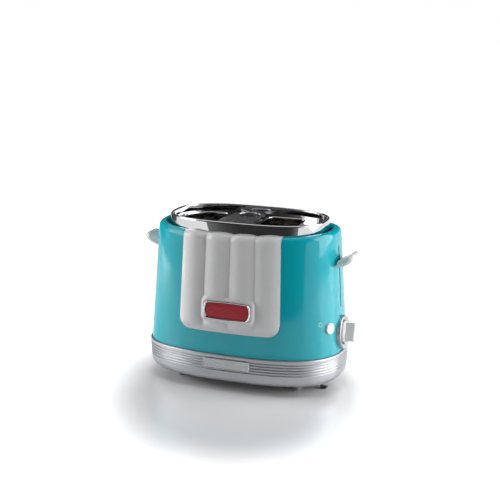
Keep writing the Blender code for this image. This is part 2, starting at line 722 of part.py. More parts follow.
def make_panel():
    columns = PANEL_RIBS * PANEL_COLUMNS_PER_RIB
    shares = [2 * column / columns - 1 for column in range(columns + 1)]
    levels = sorted(set(panel_levels()))
    loops = []
    for share in shares:
        foot = panel_bottom(share)
        loop = []

        def add(inset, level, relief, lean):
            half_length, half_width = shell_half(level)
            x = share * panel_half_length(level)
            y = plan_reach(x, half_length - inset, half_width - inset) + relief * math.cos(lean)
            loop.append((x, -y, level + saddle(x, level) + relief * math.sin(lean)))

        rows = [lerp(foot, shoulder_level, (level - PANEL_BOTTOM) / (shoulder_level - PANEL_BOTTOM)) for level in levels]
        for level in rows:
            x = share * panel_half_length(level)
            add(0, level, panel_relief(share, x, level), 0)
        for inset, level, lean in shoulder_section():
            x = share * panel_half_length(level)
            crest = panel_relief(share, x, shoulder_level) * math.cos(lean) ** RIB_HEAD_SHARE
            add(inset, level, crest if lean < math.radians(80) else 0, lean)
        for inset, level in inner_section():
            add(inset, level, 0, 0)
        for level in (rows[len(rows) // 2], foot):
            add(SHELL_WALL, level, 0, 0)
        loops.append(loop)
    return place("front_panel", loft(loops), WHITE)


def front_frame(level, proud):
    """A frame on the front wall's middle line, its z pointing out of the wall."""
    lean = math.atan2(shell_base_half_width - SHELL_TOP_HALF_WIDTH, SHELL_TOP - BASE_TOP)
    reach = shell_half(level)[1] + proud / math.cos(lean)
    return Matrix.Translation((0, -reach, level)) @ Matrix.Rotation(-lean, 4, "X") @ FACING_FRONT


def barrel_outline(half_length, corner_half_length, half_height, crown, steps=6):
    """A plate's outline with bowed ends and a slight crown, anticlockwise."""
    right = []
    for step in range(steps + 1):
        share = 2 * step / steps - 1
        right.append((lerp(half_length, corner_half_length, share * share), share * half_height))
    top = []
    for step in range(1, steps):
        share = 1 - 2 * step / steps
        top.append((share * corner_half_length, half_height + crown * (1 - share * share)))
    left = [(-x, y) for x, y in reversed(right)]
    return right + top + left + [(-x, -y) for x, y in top]


def make_badge():
    outer = barrel_outline(BADGE_HALF_LENGTH, BADGE_CORNER_HALF_LENGTH, BADGE_HALF_HEIGHT, BADGE_CROWN)
    inner = barrel_outline(
        BADGE_HALF_LENGTH - BADGE_RIM,
        BADGE_CORNER_HALF_LENGTH - BADGE_RIM,
        BADGE_HALF_HEIGHT - BADGE_RIM,
        BADGE_CROWN,
    )
    shrink = BADGE_RIM + SEAT_GAP
    insert = barrel_outline(
        BADGE_HALF_LENGTH - shrink, BADGE_CORNER_HALF_LENGTH - shrink, BADGE_HALF_HEIGHT - shrink, BADGE_CROWN
    )
    seat = front_frame(BADGE_CENTRE, BOSS_PROUD + PANEL_EDGE_PROUD + SEAT_GAP)
    place("badge_frame", plate_mesh([outer, inner], 0, BADGE_THICKNESS), CHROME, seat)
    place("badge_insert", plate_mesh([insert], 0, BADGE_INSERT_THICKNESS), RED, seat)


def ring_inset(level):
    """How far the ring's side has come in from its top edge at this level, above its rounding."""
    return RING_TAPER * ((BASE_TOP - level) / (BASE_TOP - RING_ROUND_START)) ** 2


def ring_rounding(depth, height, steps):
    """The ring's rounded underside as (inset, level), from its side to its lowest level."""
    points = []
    for step in range(steps + 1):
        turn = math.radians(90) * step / steps
        inset = depth * (1 - math.cos(turn) ** (2 / RING_ROUND_POWER))
        points.append((inset, RING_ROUND_START - height * math.sin(turn) ** (2 / RING_ROUND_POWER)))
    return points


def make_base_ring():
    section = [(0, BASE_TOP)]
    for groove in range(GROOVE_COUNT):
        centre = BASE_TOP - GROOVE_TOP_MARGIN - groove * GROOVE_PITCH
        section.append((ring_inset(centre + GROOVE_HALF_WIDTH), centre + GROOVE_HALF_WIDTH))
        section.append((ring_inset(centre) + GROOVE_DEPTH, centre))
        section.append((ring_inset(centre - GROOVE_HALF_WIDTH), centre - GROOVE_HALF_WIDTH))
    shelf = RING_BOTTOM + RING_FLANGE_THICKNESS
    outer = ring_rounding(RING_ROUND_DEPTH, RING_ROUND_START - RING_BOTTOM, 4)
    inner = ring_rounding(RING_ROUND_DEPTH - RING_WALL, RING_ROUND_START - shelf, 2)
    section += [(RING_TAPER + inset, level) for inset, level in outer]
    section += [(RING_FLANGE_WIDTH, RING_BOTTOM), (RING_FLANGE_WIDTH, shelf)]
    section += [(RING_TAPER + RING_WALL + inset, level) for inset, level in reversed(inner)]
    ledge_bottom = BASE_TOP - RING_LEDGE_THICKNESS
    lip_outer = SHELL_BASE_INSET + SHELL_WALL + RUNNING_GAP
    section += [
        (RING_WALL, ledge_bottom),
        (RING_LEDGE_WIDTH, ledge_bottom),
        (RING_LEDGE_WIDTH, BASE_TOP),
        (lip_outer + LOCATING_LIP_WALL, BASE_TOP),
        (lip_outer + LOCATING_LIP_WALL, BASE_TOP + LOCATING_LIP_HEIGHT),
        (lip_outer, BASE_TOP + LOCATING_LIP_HEIGHT),
        (lip_outer, BASE_TOP),
    ]
    ring = place("base_ring", plan_ring(RING_HALF_LENGTH, RING_HALF_WIDTH, section), SILVER)
    window = box_mesh(
        (TRAY_X[0] - RUNNING_GAP, 0, TRAY_FACE_BOTTOM - RUNNING_GAP),
        (TRAY_X[1] + RUNNING_GAP, RING_HALF_WIDTH + CUT_OVERRUN, TRAY_FACE_BOTTOM + TRAY_FACE_HEIGHT + RUNNING_GAP),
    )
    return combine(ring, cutter("tray_window", window))


def make_nameplate():
    """The bare plate, curved with the ring that it lies on."""
    steps = 8
    loops = []
    for step in range(steps + 1):
        share = 2 * step / steps - 1
        loop = []
        for grown, rows in ((SEAT_GAP, (-1, 0, 1)), (SEAT_GAP + PLATE_THICKNESS, (1, 0, -1))):
            for row in rows:
                x = share * lerp(PLATE_HALF_LENGTH, PLATE_CORNER_HALF_LENGTH, row * row)
                level = PLATE_CENTRE + row * PLATE_HALF_HEIGHT
                out = grown - ring_inset(level)
                loop.append((x, -plan_reach(x, RING_HALF_LENGTH + out, RING_HALF_WIDTH + out), level))
        loops.append(loop)
    place("nameplate", loft(loops), SILVER)


def tray_middle():
    return (TRAY_X[0] + TRAY_X[1]) / 2


def make_base_pan():
    inset = RING_TAPER + RING_ROUND_DEPTH + SEAT_GAP
    pan = place(
        "base_pan", plan_slab(RING_HALF_LENGTH - inset, RING_HALF_WIDTH - inset, pan_bottom, pan_top), BLACK
    )
    for name, x in (("left_runner", TRAY_X[0] + RUNNER_INSET), ("right_runner", TRAY_X[1] - RUNNER_INSET)):
        runner = box_mesh(
            (x - RUNNER_WIDTH / 2, TRAY_BACK_Y, pan_top - PAN_THICKNESS / 2),
            (x + RUNNER_WIDTH / 2, -TRAY_BACK_Y, TRAY_FLOOR - SEAT_GAP),
        )
        combine(pan, cutter(name, runner), "UNION")
    bore = cylinder_mesh(GLAND_NECK_RADIUS + SEAT_GAP, -CUT_OVERRUN, CUT_OVERRUN)
    combine(pan, cutter("gland_hole", bore, Matrix.Translation((GLAND_X, GLAND_Y, pan_bottom))))
    flange_top = pan_bottom - SEAT_GAP
    top_flange = pan_top + SEAT_GAP
    profile = [
        (GLAND_BORE_RADIUS, top_flange + GLAND_FLANGE_THICKNESS),
        (GLAND_FLANGE_RADIUS, top_flange + GLAND_FLANGE_THICKNESS),
        (GLAND_FLANGE_RADIUS, top_flange),
        (GLAND_NECK_RADIUS, top_flange),
        (GLAND_NECK_RADIUS, flange_top),
        (GLAND_FLANGE_RADIUS, flange_top),
        (GLAND_FLANGE_RADIUS, flange_top - GLAND_FLANGE_THICKNESS),
        (GLAND_BORE_RADIUS, flange_top - GLAND_FLANGE_THICKNESS),
    ]
    turned("cord_gland", profile, RUBBER, Matrix.Translation((GLAND_X, GLAND_Y, 0)), steps=16, closed=True)


def make_feet():
    for side, x in (("left", -FOOT_X), ("right", FOOT_X)):
        for end, y in (("front", -FOOT_Y), ("rear", FOOT_Y)):
            foot = cylinder_mesh(FOOT_SOLE_RADIUS, 0, pan_bottom - SEAT_GAP, sides=20, top_radius=FOOT_RADIUS)
            place(f"foot_{end}_{side}", foot, RUBBER, Matrix.Translation((x, y, 0)))


def make_cord_hooks():
    """Two L-shaped hooks under the ends, for winding the cord."""
    top = pan_bottom - SEAT_GAP
    outline = [
        (0, top),
        (-HOOK_THICKNESS, top),
        (-HOOK_THICKNESS, HOOK_CLEARANCE),
        (HOOK_REACH - HOOK_THICKNESS, HOOK_CLEARANCE),
        (HOOK_REACH - HOOK_THICKNESS, HOOK_CLEARANCE + HOOK_THICKNESS),
        (0, HOOK_CLEARANCE + HOOK_THICKNESS),
    ]
    half = HOOK_WIDTH / 2
    for name, turn in (("cord_hook_right", 0), ("cord_hook_left", math.pi)):
        seat = Matrix.Rotation(turn, 4, "Z") @ Matrix.Translation((HOOK_X, -HOOK_Y, 0)) @ FACING_FRONT
        place(name, plate_mesh([outline], -half, half), BLACK, seat)


def make_rim():
    crown = RIM_WIDTH / 2
    foot = COLLAR_TOP + SEAT_GAP
    ledge_top = DECK_TOP - DECK_THICKNESS - SEAT_GAP
    section = [(0, foot)]
    section += arc(crown, RIM_TOP - crown, crown, 180, 0, 4)
    section += [
        (RIM_WIDTH, ledge_top),
        (RIM_LEDGE_WIDTH, ledge_top),
        (RIM_LEDGE_WIDTH, ledge_top - RIM_LEDGE_THICKNESS),
        (RIM_WALL, ledge_top - RIM_LEDGE_THICKNESS),
        (RIM_WALL, foot),
    ]
    place("chrome_rim", plan_ring(RIM_HALF_LENGTH, RIM_HALF_WIDTH, section), CHROME)


def left_slot_outline(grown):
    """The left bun slot, whose outer end follows the rim."""
    half = SLOT_HALF_WIDTH + grown
    margin = RIM_WIDTH + SLOT_RIM_MARGIN - grown
    radius = SLOT_CORNER_RADIUS + grown
    right = LEFT_SLOT_RIGHT_X + grown
    outline = arc(right - radius, radius - half, radius, -90, 0, 5) + arc(right - radius, half - radius, radius, 0, 90, 5)
    for step in range(SLOT_CURVE_STEPS + 1):
        y = half * math.cos(math.pi * step / SLOT_CURVE_STEPS)
        outline.append((-plan_reach(y, RIM_HALF_WIDTH - margin, RIM_HALF_LENGTH - margin), y))
    return outline


def right_slot_outline(grown):
    left, right = RIGHT_SLOT_X
    half = SLOT_HALF_WIDTH + grown
    radius = SLOT_CORNER_RADIUS + grown
    return rounded_rectangle(left - grown, right + grown, -half, half, radius, radius)


def basket_outline(grown):
    half = BASKET_HALF_WIDTH + grown
    reach = BASKET_HALF_LENGTH + grown
    radius = BASKET_CORNER_RADIUS + grown
    return rounded_rectangle(BASKET_X - reach, BASKET_X + reach, -half, half, radius, radius)


def deck_openings(grown):
    return [left_slot_outline(grown), right_slot_outline(grown), basket_outline(grown)]


def make_deck():
    """The polished plate, with each opening's edge turned down."""
    inset = RIM_WIDTH + SEAT_GAP
    bottom = DECK_TOP - DECK_THICKNESS
    outline = [plan_point(RIM_HALF_LENGTH - inset, RIM_HALF_WIDTH - inset, angle) for angle in plan_angles()]
    deck = place("top_deck", plate_mesh([outline], bottom, DECK_TOP), DECK_STEEL)
    names = ("left_slot", "right_slot", "basket_opening")
    middle = (bottom + DECK_TOP) / 2
    for name, opening in zip(names, deck_openings(SLOT_FLANGE_WALL)):
        flange = plate_mesh([opening], DECK_TOP - SLOT_FLANGE_DEPTH, middle)
        combine(deck, cutter(name + "_flange", flange), "UNION")
    for name, opening in zip(names, deck_openings(0)):
        hole = plate_mesh([opening], DECK_TOP - SLOT_FLANGE_DEPTH - CUT_OVERRUN, DECK_TOP + CUT_OVERRUN)
        combine(deck, cutter(name, hole))


def chamber_outline(grown):
    """The chamber seen from above: square at the control end, rounded at the other."""
    half = CHAMBER_HALF_WIDTH + grown
    radius = CHAMBER_CORNER_RADIUS + grown
    left = CHAMBER_LEFT - grown
    return (
        [(CHAMBER_RIGHT, -half), (CHAMBER_RIGHT, half)]
        + arc(left + radius, half - radius, radius, 90, 180, 6)
        + arc(left + radius, radius - half, radius, 180, 270, 6)
    )


def make_frame():
    """Collar under the rim, chassis on the base ring, and the sheet-steel chamber between them."""
    half_length, half_width = shell_half(collar_bottom)
    inset = SHELL_WALL + SEAT_GAP
    outline = [plan_point(half_length - inset - SEAT_GAP, half_width - inset - SEAT_GAP, angle) for angle in plan_angles()]
    place("top_collar", plate_mesh([outline, chamber_outline(-SEAT_GAP)], collar_bottom, COLLAR_TOP), BLACK)

    edge_length, edge_width = RING_HALF_LENGTH - CHASSIS_INSET, RING_HALF_WIDTH - CHASSIS_INSET
    outline = [plan_point(edge_length, edge_width, angle) for angle in plan_angles()]
    chute = rounded_rectangle(
        CHAMBER_LEFT + CHUTE_MARGIN,
        CHAMBER_RIGHT - CHUTE_MARGIN,
        CHUTE_MARGIN - CHAMBER_HALF_WIDTH,
        CHAMBER_HALF_WIDTH - CHUTE_MARGIN,
        CHAMBER_CORNER_RADIUS,
        SLOT_CORNER_RADIUS,
    )
    place("chassis_plate", plate_mesh([outline, chute], chassis_bottom, chassis_top), STEEL)

    outside = chamber_outline(SHEET_THICKNESS)
    inside = chamber_outline(0)
    wrap = outside[1:] + [outside[0], inside[0]] + list(reversed(inside[1:]))
    place("chamber_wrap", plate_mesh([wrap], chamber_bottom, chamber_top), STEEL)

    slot = beam_slot(beam_bottom - LEVER_TRAVEL_DOWN - RUNNING_GAP, beam_top + LEVER_TRAVEL_UP + RUNNING_GAP)
    wall = rectangle(-BULKHEAD_HALF_WIDTH, BULKHEAD_HALF_WIDTH, chamber_bottom, chamber_top)
    left = CHAMBER_RIGHT + SEAT_GAP
    place("control_bulkhead", plate_mesh([wall, slot], left, left + SHEET_THICKNESS), STEEL, FACING_RIGHT)


def rectangle(left, right, bottom, top):
    return [(left, bottom), (right, bottom), (right, top), (left, top)]


def beam_slot(bottom, top):
    """The upright slot that the carriage beam travels in."""
    half = BEAM_SLOT_WIDTH / 2
    return rectangle(-half, half, bottom, top)


def standing_plate(name, x, thickness, outlines, material):
    return place(name, plate_mesh(outlines, x - thickness / 2, x + thickness / 2), material, FACING_RIGHT)


def make_heaters():
    """Mica boards that face the buns and the basket, slotted for the carriage beam."""
    half = CHAMBER_HALF_WIDTH - SEAT_GAP
    slot = beam_slot(beam_bottom - LEVER_TRAVEL_DOWN - RUNNING_GAP, beam_top + LEVER_TRAVEL_UP + RUNNING_GAP)
    full = rectangle(-half, half, chamber_bottom, chamber_top)
    narrow = rectangle(-OUTER_BOARD_HALF_WIDTH, OUTER_BOARD_HALF_WIDTH, chamber_bottom, chamber_top)
    outer_right = CHAMBER_RIGHT - SEAT_GAP - BOARD_THICKNESS
    outer_left = CHAMBER_LEFT + SEAT_GAP + BOARD_THICKNESS / 2
    standing_plate("heater_left_outer", outer_left, BOARD_THICKNESS, [narrow], MICA)
    standing_plate("heater_left_inner", BOARD_INNER_LEFT_X, BOARD_THICKNESS, [full, slot], MICA)
    standing_plate("heater_right_inner", BOARD_INNER_RIGHT_X, BOARD_THICKNESS, [full, slot], MICA)
    standing_plate("heater_right_outer", outer_right, BOARD_THICKNESS, [full, slot], MICA)


def guard_outlines(half):
    """A ladder of upright wires between a top and a bottom rail."""
    bottom, top = chamber_bottom, chamber_top
    pitch = 2 * half / GUARD_WIRES
    openings = []
    for cell in range(GUARD_WIRES):
        left = -half + cell * pitch + GUARD_WIRE / 2
        openings.append(rectangle(left, left + pitch - GUARD_WIRE, bottom + GUARD_RAIL, top - GUARD_RAIL))
    return [rectangle(-half - GUARD_WIRE / 2, half + GUARD_WIRE / 2, bottom, top), *openings]


def make_guards():
    """Wire guards that keep the buns off the boards."""
    wide = CHAMBER_HALF_WIDTH - SEAT_GAP - GUARD_WIRE / 2
    left_outer = CHAMBER_LEFT + SEAT_GAP + BOARD_THICKNESS + GUARD_OFFSET
    right_outer = CHAMBER_RIGHT - SEAT_GAP - 2 * BOARD_THICKNESS - GUARD_OFFSET
    narrow = OUTER_BOARD_HALF_WIDTH
    standing_plate("bun_guard_left_outer", left_outer, GUARD_WIRE, guard_outlines(narrow), STEEL)
    standing_plate("bun_guard_left_inner", BOARD_INNER_LEFT_X - GUARD_OFFSET, GUARD_WIRE, guard_outlines(wide), STEEL)
    standing_plate("bun_guard_right_inner", BOARD_INNER_RIGHT_X + GUARD_OFFSET, GUARD_WIRE, guard_outlines(wide), STEEL)
    standing_plate("bun_guard_right_outer", right_outer, GUARD_WIRE, guard_outlines(wide), STEEL)


def make_carriage():
    """The sheet-steel beam with its riser, lever arm and guide lug, and what it carries."""
    beam_left = left_slot_end + PLATFORM_MARGIN
    arm_bottom = LEVER_LEVEL - ARM_HEIGHT / 2
    arm_top = LEVER_LEVEL + ARM_HEIGHT / 2
    profile = [
        (beam_left, beam_bottom),
        (RISER_X + RISER_WIDTH, beam_bottom),
        (RISER_X + RISER_WIDTH, arm_bottom),
        (arm_end, arm_bottom),
        (arm_end, arm_top),
        (RISER_X, arm_top),
        (RISER_X, beam_top),
        (beam_left, beam_top),
    ]
    half = BEAM_THICKNESS / 2
    frame = place("carriage_frame", plate_mesh([profile], -half, half), STEEL, FACING_FRONT)
    lug = rounded_rectangle(
        RISER_X, LUG_END, -LUG_HALF_WIDTH, LUG_HALF_WIDTH, BEAM_CORNER_RADIUS, PLATFORM_CORNER_RADIUS
    )
    holes = [arc(ROD_X, y, ROD_RADIUS + RUNNING_GAP, 0, 345, 15) for y in (-ROD_Y, ROD_Y)]
    combine(frame, cutter("guide_lug", plate_mesh([lug, *holes], lug_level, lug_level + LUG_THICKNESS)), "UNION")

    bottom = platform_top - PLATFORM_THICKNESS
    pieces = [frame]
    left_span = (left_slot_end, LEFT_SLOT_RIGHT_X)
    spans = (("left", left_span, PLATFORM_HALF_WIDTH / 2), ("right", RIGHT_SLOT_X, PLATFORM_CORNER_RADIUS))
    for side, (left, right), outer_radius in spans:
        edge = rounded_rectangle(
            left + PLATFORM_MARGIN,
            right - PLATFORM_MARGIN,
            -PLATFORM_HALF_WIDTH,
            PLATFORM_HALF_WIDTH,
            outer_radius,
            PLATFORM_CORNER_RADIUS,
        )
        pieces.append(place(f"bun_platform_{side}", plate_mesh([edge], bottom, platform_top), STEEL))
    pieces.append(place("basket_platform", plate_mesh([lift_outline()], bottom, platform_top), STEEL))

    keeper = box_mesh(
        (ROD_X - KEEPER_HALF_SIZE, -KEEPER_HALF_SIZE, keeper_bottom),
        (ROD_X + KEEPER_HALF_SIZE, KEEPER_HALF_SIZE, lug_level - SEAT_GAP),
    )
    pieces.append(place("latch_keeper", keeper, STEEL))
    pieces.append(make_lever())
    joint_empty("carriage_axis", (ROD_X, 0, LEVER_LEVEL), pieces)


def lift_outline():
    """The cross arm under the basket, with a disc in each well."""
    half = LIFT_ARM_WIDTH / 2
    lean = math.degrees(math.asin(half / LIFT_DISC_RADIUS))
    upper = arc(0, WELL_Y, LIFT_DISC_RADIUS, -90 + lean, 270 - lean, 16)
    lower = [(-x, -y) for x, y in upper]
    return [(x + BASKET_X, y) for x, y in upper + lower]


def make_guides():
    """Guide rods between chassis and collar, each with the spring that lifts the carriage."""
    for end, y in (("front", -ROD_Y), ("rear", ROD_Y)):
        rod = cylinder_mesh(ROD_RADIUS, chamber_bottom, chamber_top, sides=16)
        place(f"guide_rod_{end}", rod, STEEL, Matrix.Translation((ROD_X, y, 0)))
        low = chamber_bottom + SPRING_WIRE_RADIUS
        high = lug_level - SEAT_GAP - SPRING_WIRE_RADIUS
        count = SPRING_TURNS * SPRING_POINTS_PER_TURN
        points = []
        for step in range(count + 1):
            angle = math.tau * step / SPRING_POINTS_PER_TURN
            x = ROD_X + SPRING_RADIUS * math.cos(angle)
            points.append((x, y + SPRING_RADIUS * math.sin(angle), lerp(low, high, step / count)))
        tube(f"return_spring_{end}", points, SPRING_WIRE_RADIUS, STEEL, resolution=1)


def make_latch():
    """The electromagnet that holds the carriage down."""
    yoke_half = MAGNET_COIL_RADIUS
    middle = Matrix.Translation((ROD_X, 0, 0))
    core = place(
        "magnet_core", cylinder_mesh(MAGNET_CORE_RADIUS, chamber_bottom, magnet_top, sides=20), STEEL, middle
    )
    yoke = box_mesh(
        (-yoke_half, -yoke_half, chamber_bottom),
        (yoke_half, yoke_half, chamber_bottom + MAGNET_YOKE_THICKNESS),
    )
    combine(core, cutter("magnet_yoke", yoke, middle), "UNION")
    bore = MAGNET_CORE_RADIUS + SEAT_GAP
    low = chamber_bottom + MAGNET_YOKE_THICKNESS + SEAT_GAP
    high = magnet_top - MAGNET_YOKE_THICKNESS
    cheek = MAGNET_YOKE_THICKNESS / 2
    waist = MAGNET_COIL_RADIUS - cheek
    profile = [
        (bore, high),
        (MAGNET_COIL_RADIUS, high),
        (MAGNET_COIL_RADIUS, high - cheek),
        (waist, high - cheek),
        (waist, low + cheek),
        (MAGNET_COIL_RADIUS, low + cheek),
        (MAGNET_COIL_RADIUS, low),
        (bore, low),
    ]
    turned("magnet_coil", profile, COPPER, middle, steps=16, closed=True)


def paddle_loops(root_x, tip_x, level, mirror):
    """Sections across a paddle that curls up towards its tip, thinner and shorter at its two sides."""
    side_shares = (-1, -0.93, -0.78, -0.5, 0, 0.5, 0.78, 0.93, 1)
    curl_shares = (0, 0.35, 0.7, 1)
    loops = []
    for side in side_shares:
        y = side * PADDLE_HALF_WIDTH
        into_plan = max(abs(y) - (PADDLE_HALF_WIDTH - PADDLE_PLAN_RADIUS), 0) / PADDLE_PLAN_RADIUS
        into_edge = max(abs(y) - (PADDLE_HALF_WIDTH - PADDLE_EDGE_RADIUS), 0) / PADDLE_EDGE_RADIUS
        thickness = PADDLE_HALF_THICKNESS * math.sqrt(max(1 - into_edge**2, PADDLE_THIN_SHARE))
        cut_back = PADDLE_PLAN_RADIUS * (1 - math.sqrt(max(1 - into_plan**2, 0)))
        reach = tip_x - root_x - cut_back - thickness
        rise = PADDLE_RISE * (reach / (tip_x - root_x - PADDLE_HALF_THICKNESS)) ** 2
        top, bottom = [], []
        for share in curl_shares:
            slope = math.atan2(2 * rise * share, reach)
            x = root_x + reach * share
            z = level + rise * share * share
            top.append((x - thickness * math.sin(slope), z + thickness * math.cos(slope)))
            bottom.append((x + thickness * math.sin(slope), z - thickness * math.cos(slope)))
        end_slope = math.degrees(math.atan2(2 * rise, reach))
        tip = arc(root_x + reach, level + rise, thickness, end_slope + 90, end_slope - 90, 6)
        outline = top[:-1] + tip + list(reversed(bottom[:-1]))
        loops.append([(mirror * x, y, z) for x, z in outline])
    return loops


def make_lever():
    """The white paddle on the end of the carriage's arm. Its root clears the shell at both ends of its travel."""
    lever = place("lift_lever", loft(paddle_loops(lever_root_x, lever_tip_x, LEVER_LEVEL, 1)), WHITE)
    half = BEAM_THICKNESS / 2 + SEAT_GAP
    pocket = box_mesh(
        (lever_root_x - CUT_OVERRUN, -half, LEVER_LEVEL - ARM_HEIGHT / 2 - SEAT_GAP),
        (arm_end + SEAT_GAP, half, LEVER_LEVEL + ARM_HEIGHT / 2 + SEAT_GAP),
    )
    combine(lever, cutter("arm_pocket", pocket))
    lowered = Matrix.Translation((0, 0, LEVER_TRAVEL_DOWN))
    combine(lever, cutter("shell_for_low_lever", shell_envelope(RUNNING_GAP), lowered))
    raised = Matrix.Translation((0, 0, -LEVER_TRAVEL_UP))
    return combine(lever, cutter("shell_for_high_lever", shell_envelope(RUNNING_GAP), raised))


def make_side_handle():
    """The fixed paddle on the other end, its root shaped to the shell."""
    root = shell_half(LEVER_LEVEL)[0] - CUT_OVERRUN / 2
    tip = shell_half(LEVER_LEVEL)[0] + HANDLE_REACH
    loops = paddle_loops(root, tip, LEVER_LEVEL + HANDLE_LIFT, -1)
    handle = place("side_handle", loft(loops), WHITE)
    combine(handle, cutter("shell_for_handle", shell_envelope(SEAT_GAP)))


def end_lean():
    """How far the end wall leans in from upright."""
    return math.atan2(shell_base_half_length - SHELL_TOP_HALF_LENGTH, SHELL_TOP - BASE_TOP)


def dial_frame():
    """A frame on the end wall at the dial's centre, its z along the dial's shaft."""
    seat = Matrix.Translation((shell_half(DIAL_LEVEL)[0], 0, DIAL_LEVEL))
    return seat @ Matrix.Rotation(-end_lean(), 4, "Y") @ FACING_RIGHT


def make_dial():
    seat = dial_frame()
    edge = BEZEL_RADIUS - BEZEL_EDGE
    profile = [
        (BEZEL_INNER_RADIUS, BEZEL_PROUD - BEZEL_EDGE),
        (BEZEL_INNER_RADIUS + BEZEL_EDGE, BEZEL_PROUD),
        (edge, BEZEL_PROUD),
        (BEZEL_RADIUS, BEZEL_PROUD - BEZEL_EDGE),
        (BEZEL_RADIUS, -BEZEL_EDGE * 2),
        (BEZEL_SPIGOT_RADIUS, -BEZEL_EDGE * 2),
        (BEZEL_SPIGOT_RADIUS, -BEZEL_SPIGOT_DEPTH),
        (BEZEL_INNER_RADIUS, -BEZEL_SPIGOT_DEPTH),
    ]
    bezel = turned("dial_bezel", profile, SILVER, seat, closed=True)
    outside = shell_envelope(SEAT_GAP)
    skirt_only = cutter("shell_for_bezel", outside)
    hole = cylinder_mesh(BEZEL_SPIGOT_RADIUS + SEAT_GAP / 2, -CUT_OVERRUN * 2, CUT_OVERRUN)
    combine(skirt_only, cutter("spigot_clearance", hole, seat))
    combine(bezel, skirt_only)

    flange_top = DIAL_BASE_PROUD + DIAL_FLANGE_THICKNESS + BEZEL_EDGE
    crown = DIAL_FLANGE_RADIUS - BEZEL_EDGE
    profile = [
        (0, flange_top),
        (crown, flange_top),
        (DIAL_FLANGE_RADIUS, flange_top - BEZEL_EDGE),
        (DIAL_FLANGE_RADIUS, DIAL_BASE_PROUD),
        (0, DIAL_BASE_PROUD),
    ]
    turn = seat @ Matrix.Rotation(DIAL_REST_ANGLE, 4, "Z")
    dial = turned("timer_dial", profile, WHITE, turn)
    reach = DIAL_FLANGE_RADIUS - BEZEL_EDGE
    grip = box_mesh(
        (-DIAL_GRIP_HALF_WIDTH, -reach, DIAL_BASE_PROUD + DIAL_FLANGE_THICKNESS / 2),
        (DIAL_GRIP_HALF_WIDTH, reach, DIAL_REACH),
        bevel=DIAL_GRIP_BEVEL,
    )
    combine(dial, cutter("dial_grip", grip, turn), "UNION")
    bore = cylinder_mesh(SHAFT_RADIUS + SEAT_GAP, -CUT_OVERRUN, SHAFT_SEAT_DEPTH + SEAT_GAP, sides=20)
    combine(dial, cutter("shaft_bore", bore, turn))

    front = -TIMER_INSET / math.cos(end_lean())
    shaft = place("dial_shaft", cylinder_mesh(SHAFT_RADIUS, front + SEAT_GAP, SHAFT_SEAT_DEPTH, sides=20), STEEL, turn)
    bay = shell_half(DIAL_LEVEL)[0] - TIMER_INSET - BOARD_X - BOARD_PCB_THICKNESS
    back = front - bay / math.cos(end_lean())
    lean_drop = TIMER_RADIUS * abs(math.tan(end_lean())) + SEAT_GAP
    timer = cylinder_mesh(TIMER_RADIUS, back + lean_drop, front, sides=24)
    place("timer_unit", timer, BLACK, seat)
    joint_empty("dial_axis", seat.translation, [dial, shaft])


def button_frame():
    """A frame on the shell at the button's centre, its z square to the wall."""
    half_length, half_width = shell_half(BUTTON_LEVEL)
    reach = (1 - (abs(BUTTON_Y) / half_width) ** PLAN_POWER) ** (1 / PLAN_POWER)
    x = half_length * reach
    slope = Vector(
        (
            (x / half_length) ** (PLAN_POWER - 1) / half_length,
            -((abs(BUTTON_Y) / half_width) ** (PLAN_POWER - 1)) / half_width,
            0,
        )
    ).normalized()
    slope.z = math.tan(end_lean())
    outward = slope.normalized()
    across = Vector((0, 0, 1)).cross(outward).normalized()
    up = outward.cross(across)
    turn = Matrix((across, up, outward)).transposed().to_4x4()
    return Matrix.Translation((x, BUTTON_Y, BUTTON_LEVEL)) @ turn


def make_button():
    seat = button_frame()
    skirt = -BUTTON_SKIRT_DEPTH
    profile = [
        (0, BUTTON_PROUD),
        (BUTTON_RADIUS - BUTTON_CROWN, BUTTON_PROUD),
        (BUTTON_RADIUS, BUTTON_PROUD - BUTTON_CROWN),
        (BUTTON_RADIUS, skirt),
        (BUTTON_SKIRT_RADIUS, skirt),
        (BUTTON_SKIRT_RADIUS, skirt - BUTTON_SKIRT_THICKNESS),
        (BUTTON_STEM_RADIUS, skirt - BUTTON_SKIRT_THICKNESS),
        (BUTTON_STEM_RADIUS, -BUTTON_STEM_LENGTH),
        (0, -BUTTON_STEM_LENGTH),
    ]
    button = turned("stop_button", profile, WHITE, seat, steps=20)
    joint_empty("button_axis", seat.translation, [button])


def make_electronics():
    """The upright control board with the stop switch behind the button's stem."""
    board = rectangle(-BOARD_HALF_WIDTH, BOARD_HALF_WIDTH, chamber_bottom, BOARD_TOP)
    place("control_board", plate_mesh([board], BOARD_X, BOARD_X + BOARD_PCB_THICKNESS), GREEN, FACING_RIGHT)
    seat = button_frame()
    face = BOARD_X + BOARD_PCB_THICKNESS + SEAT_GAP
    outward = seat.col[2].to_3d()
    reach = (seat.translation.x - face) / outward.x
    centre = seat.translation - outward * reach
    half = SWITCH_SIZE / 2
    switch = box_mesh(
        (face, centre.y - half, centre.z - half), (face + SWITCH_DEPTH, centre.y + half, centre.z + half)
    )
    place("stop_switch", switch, BLACK)


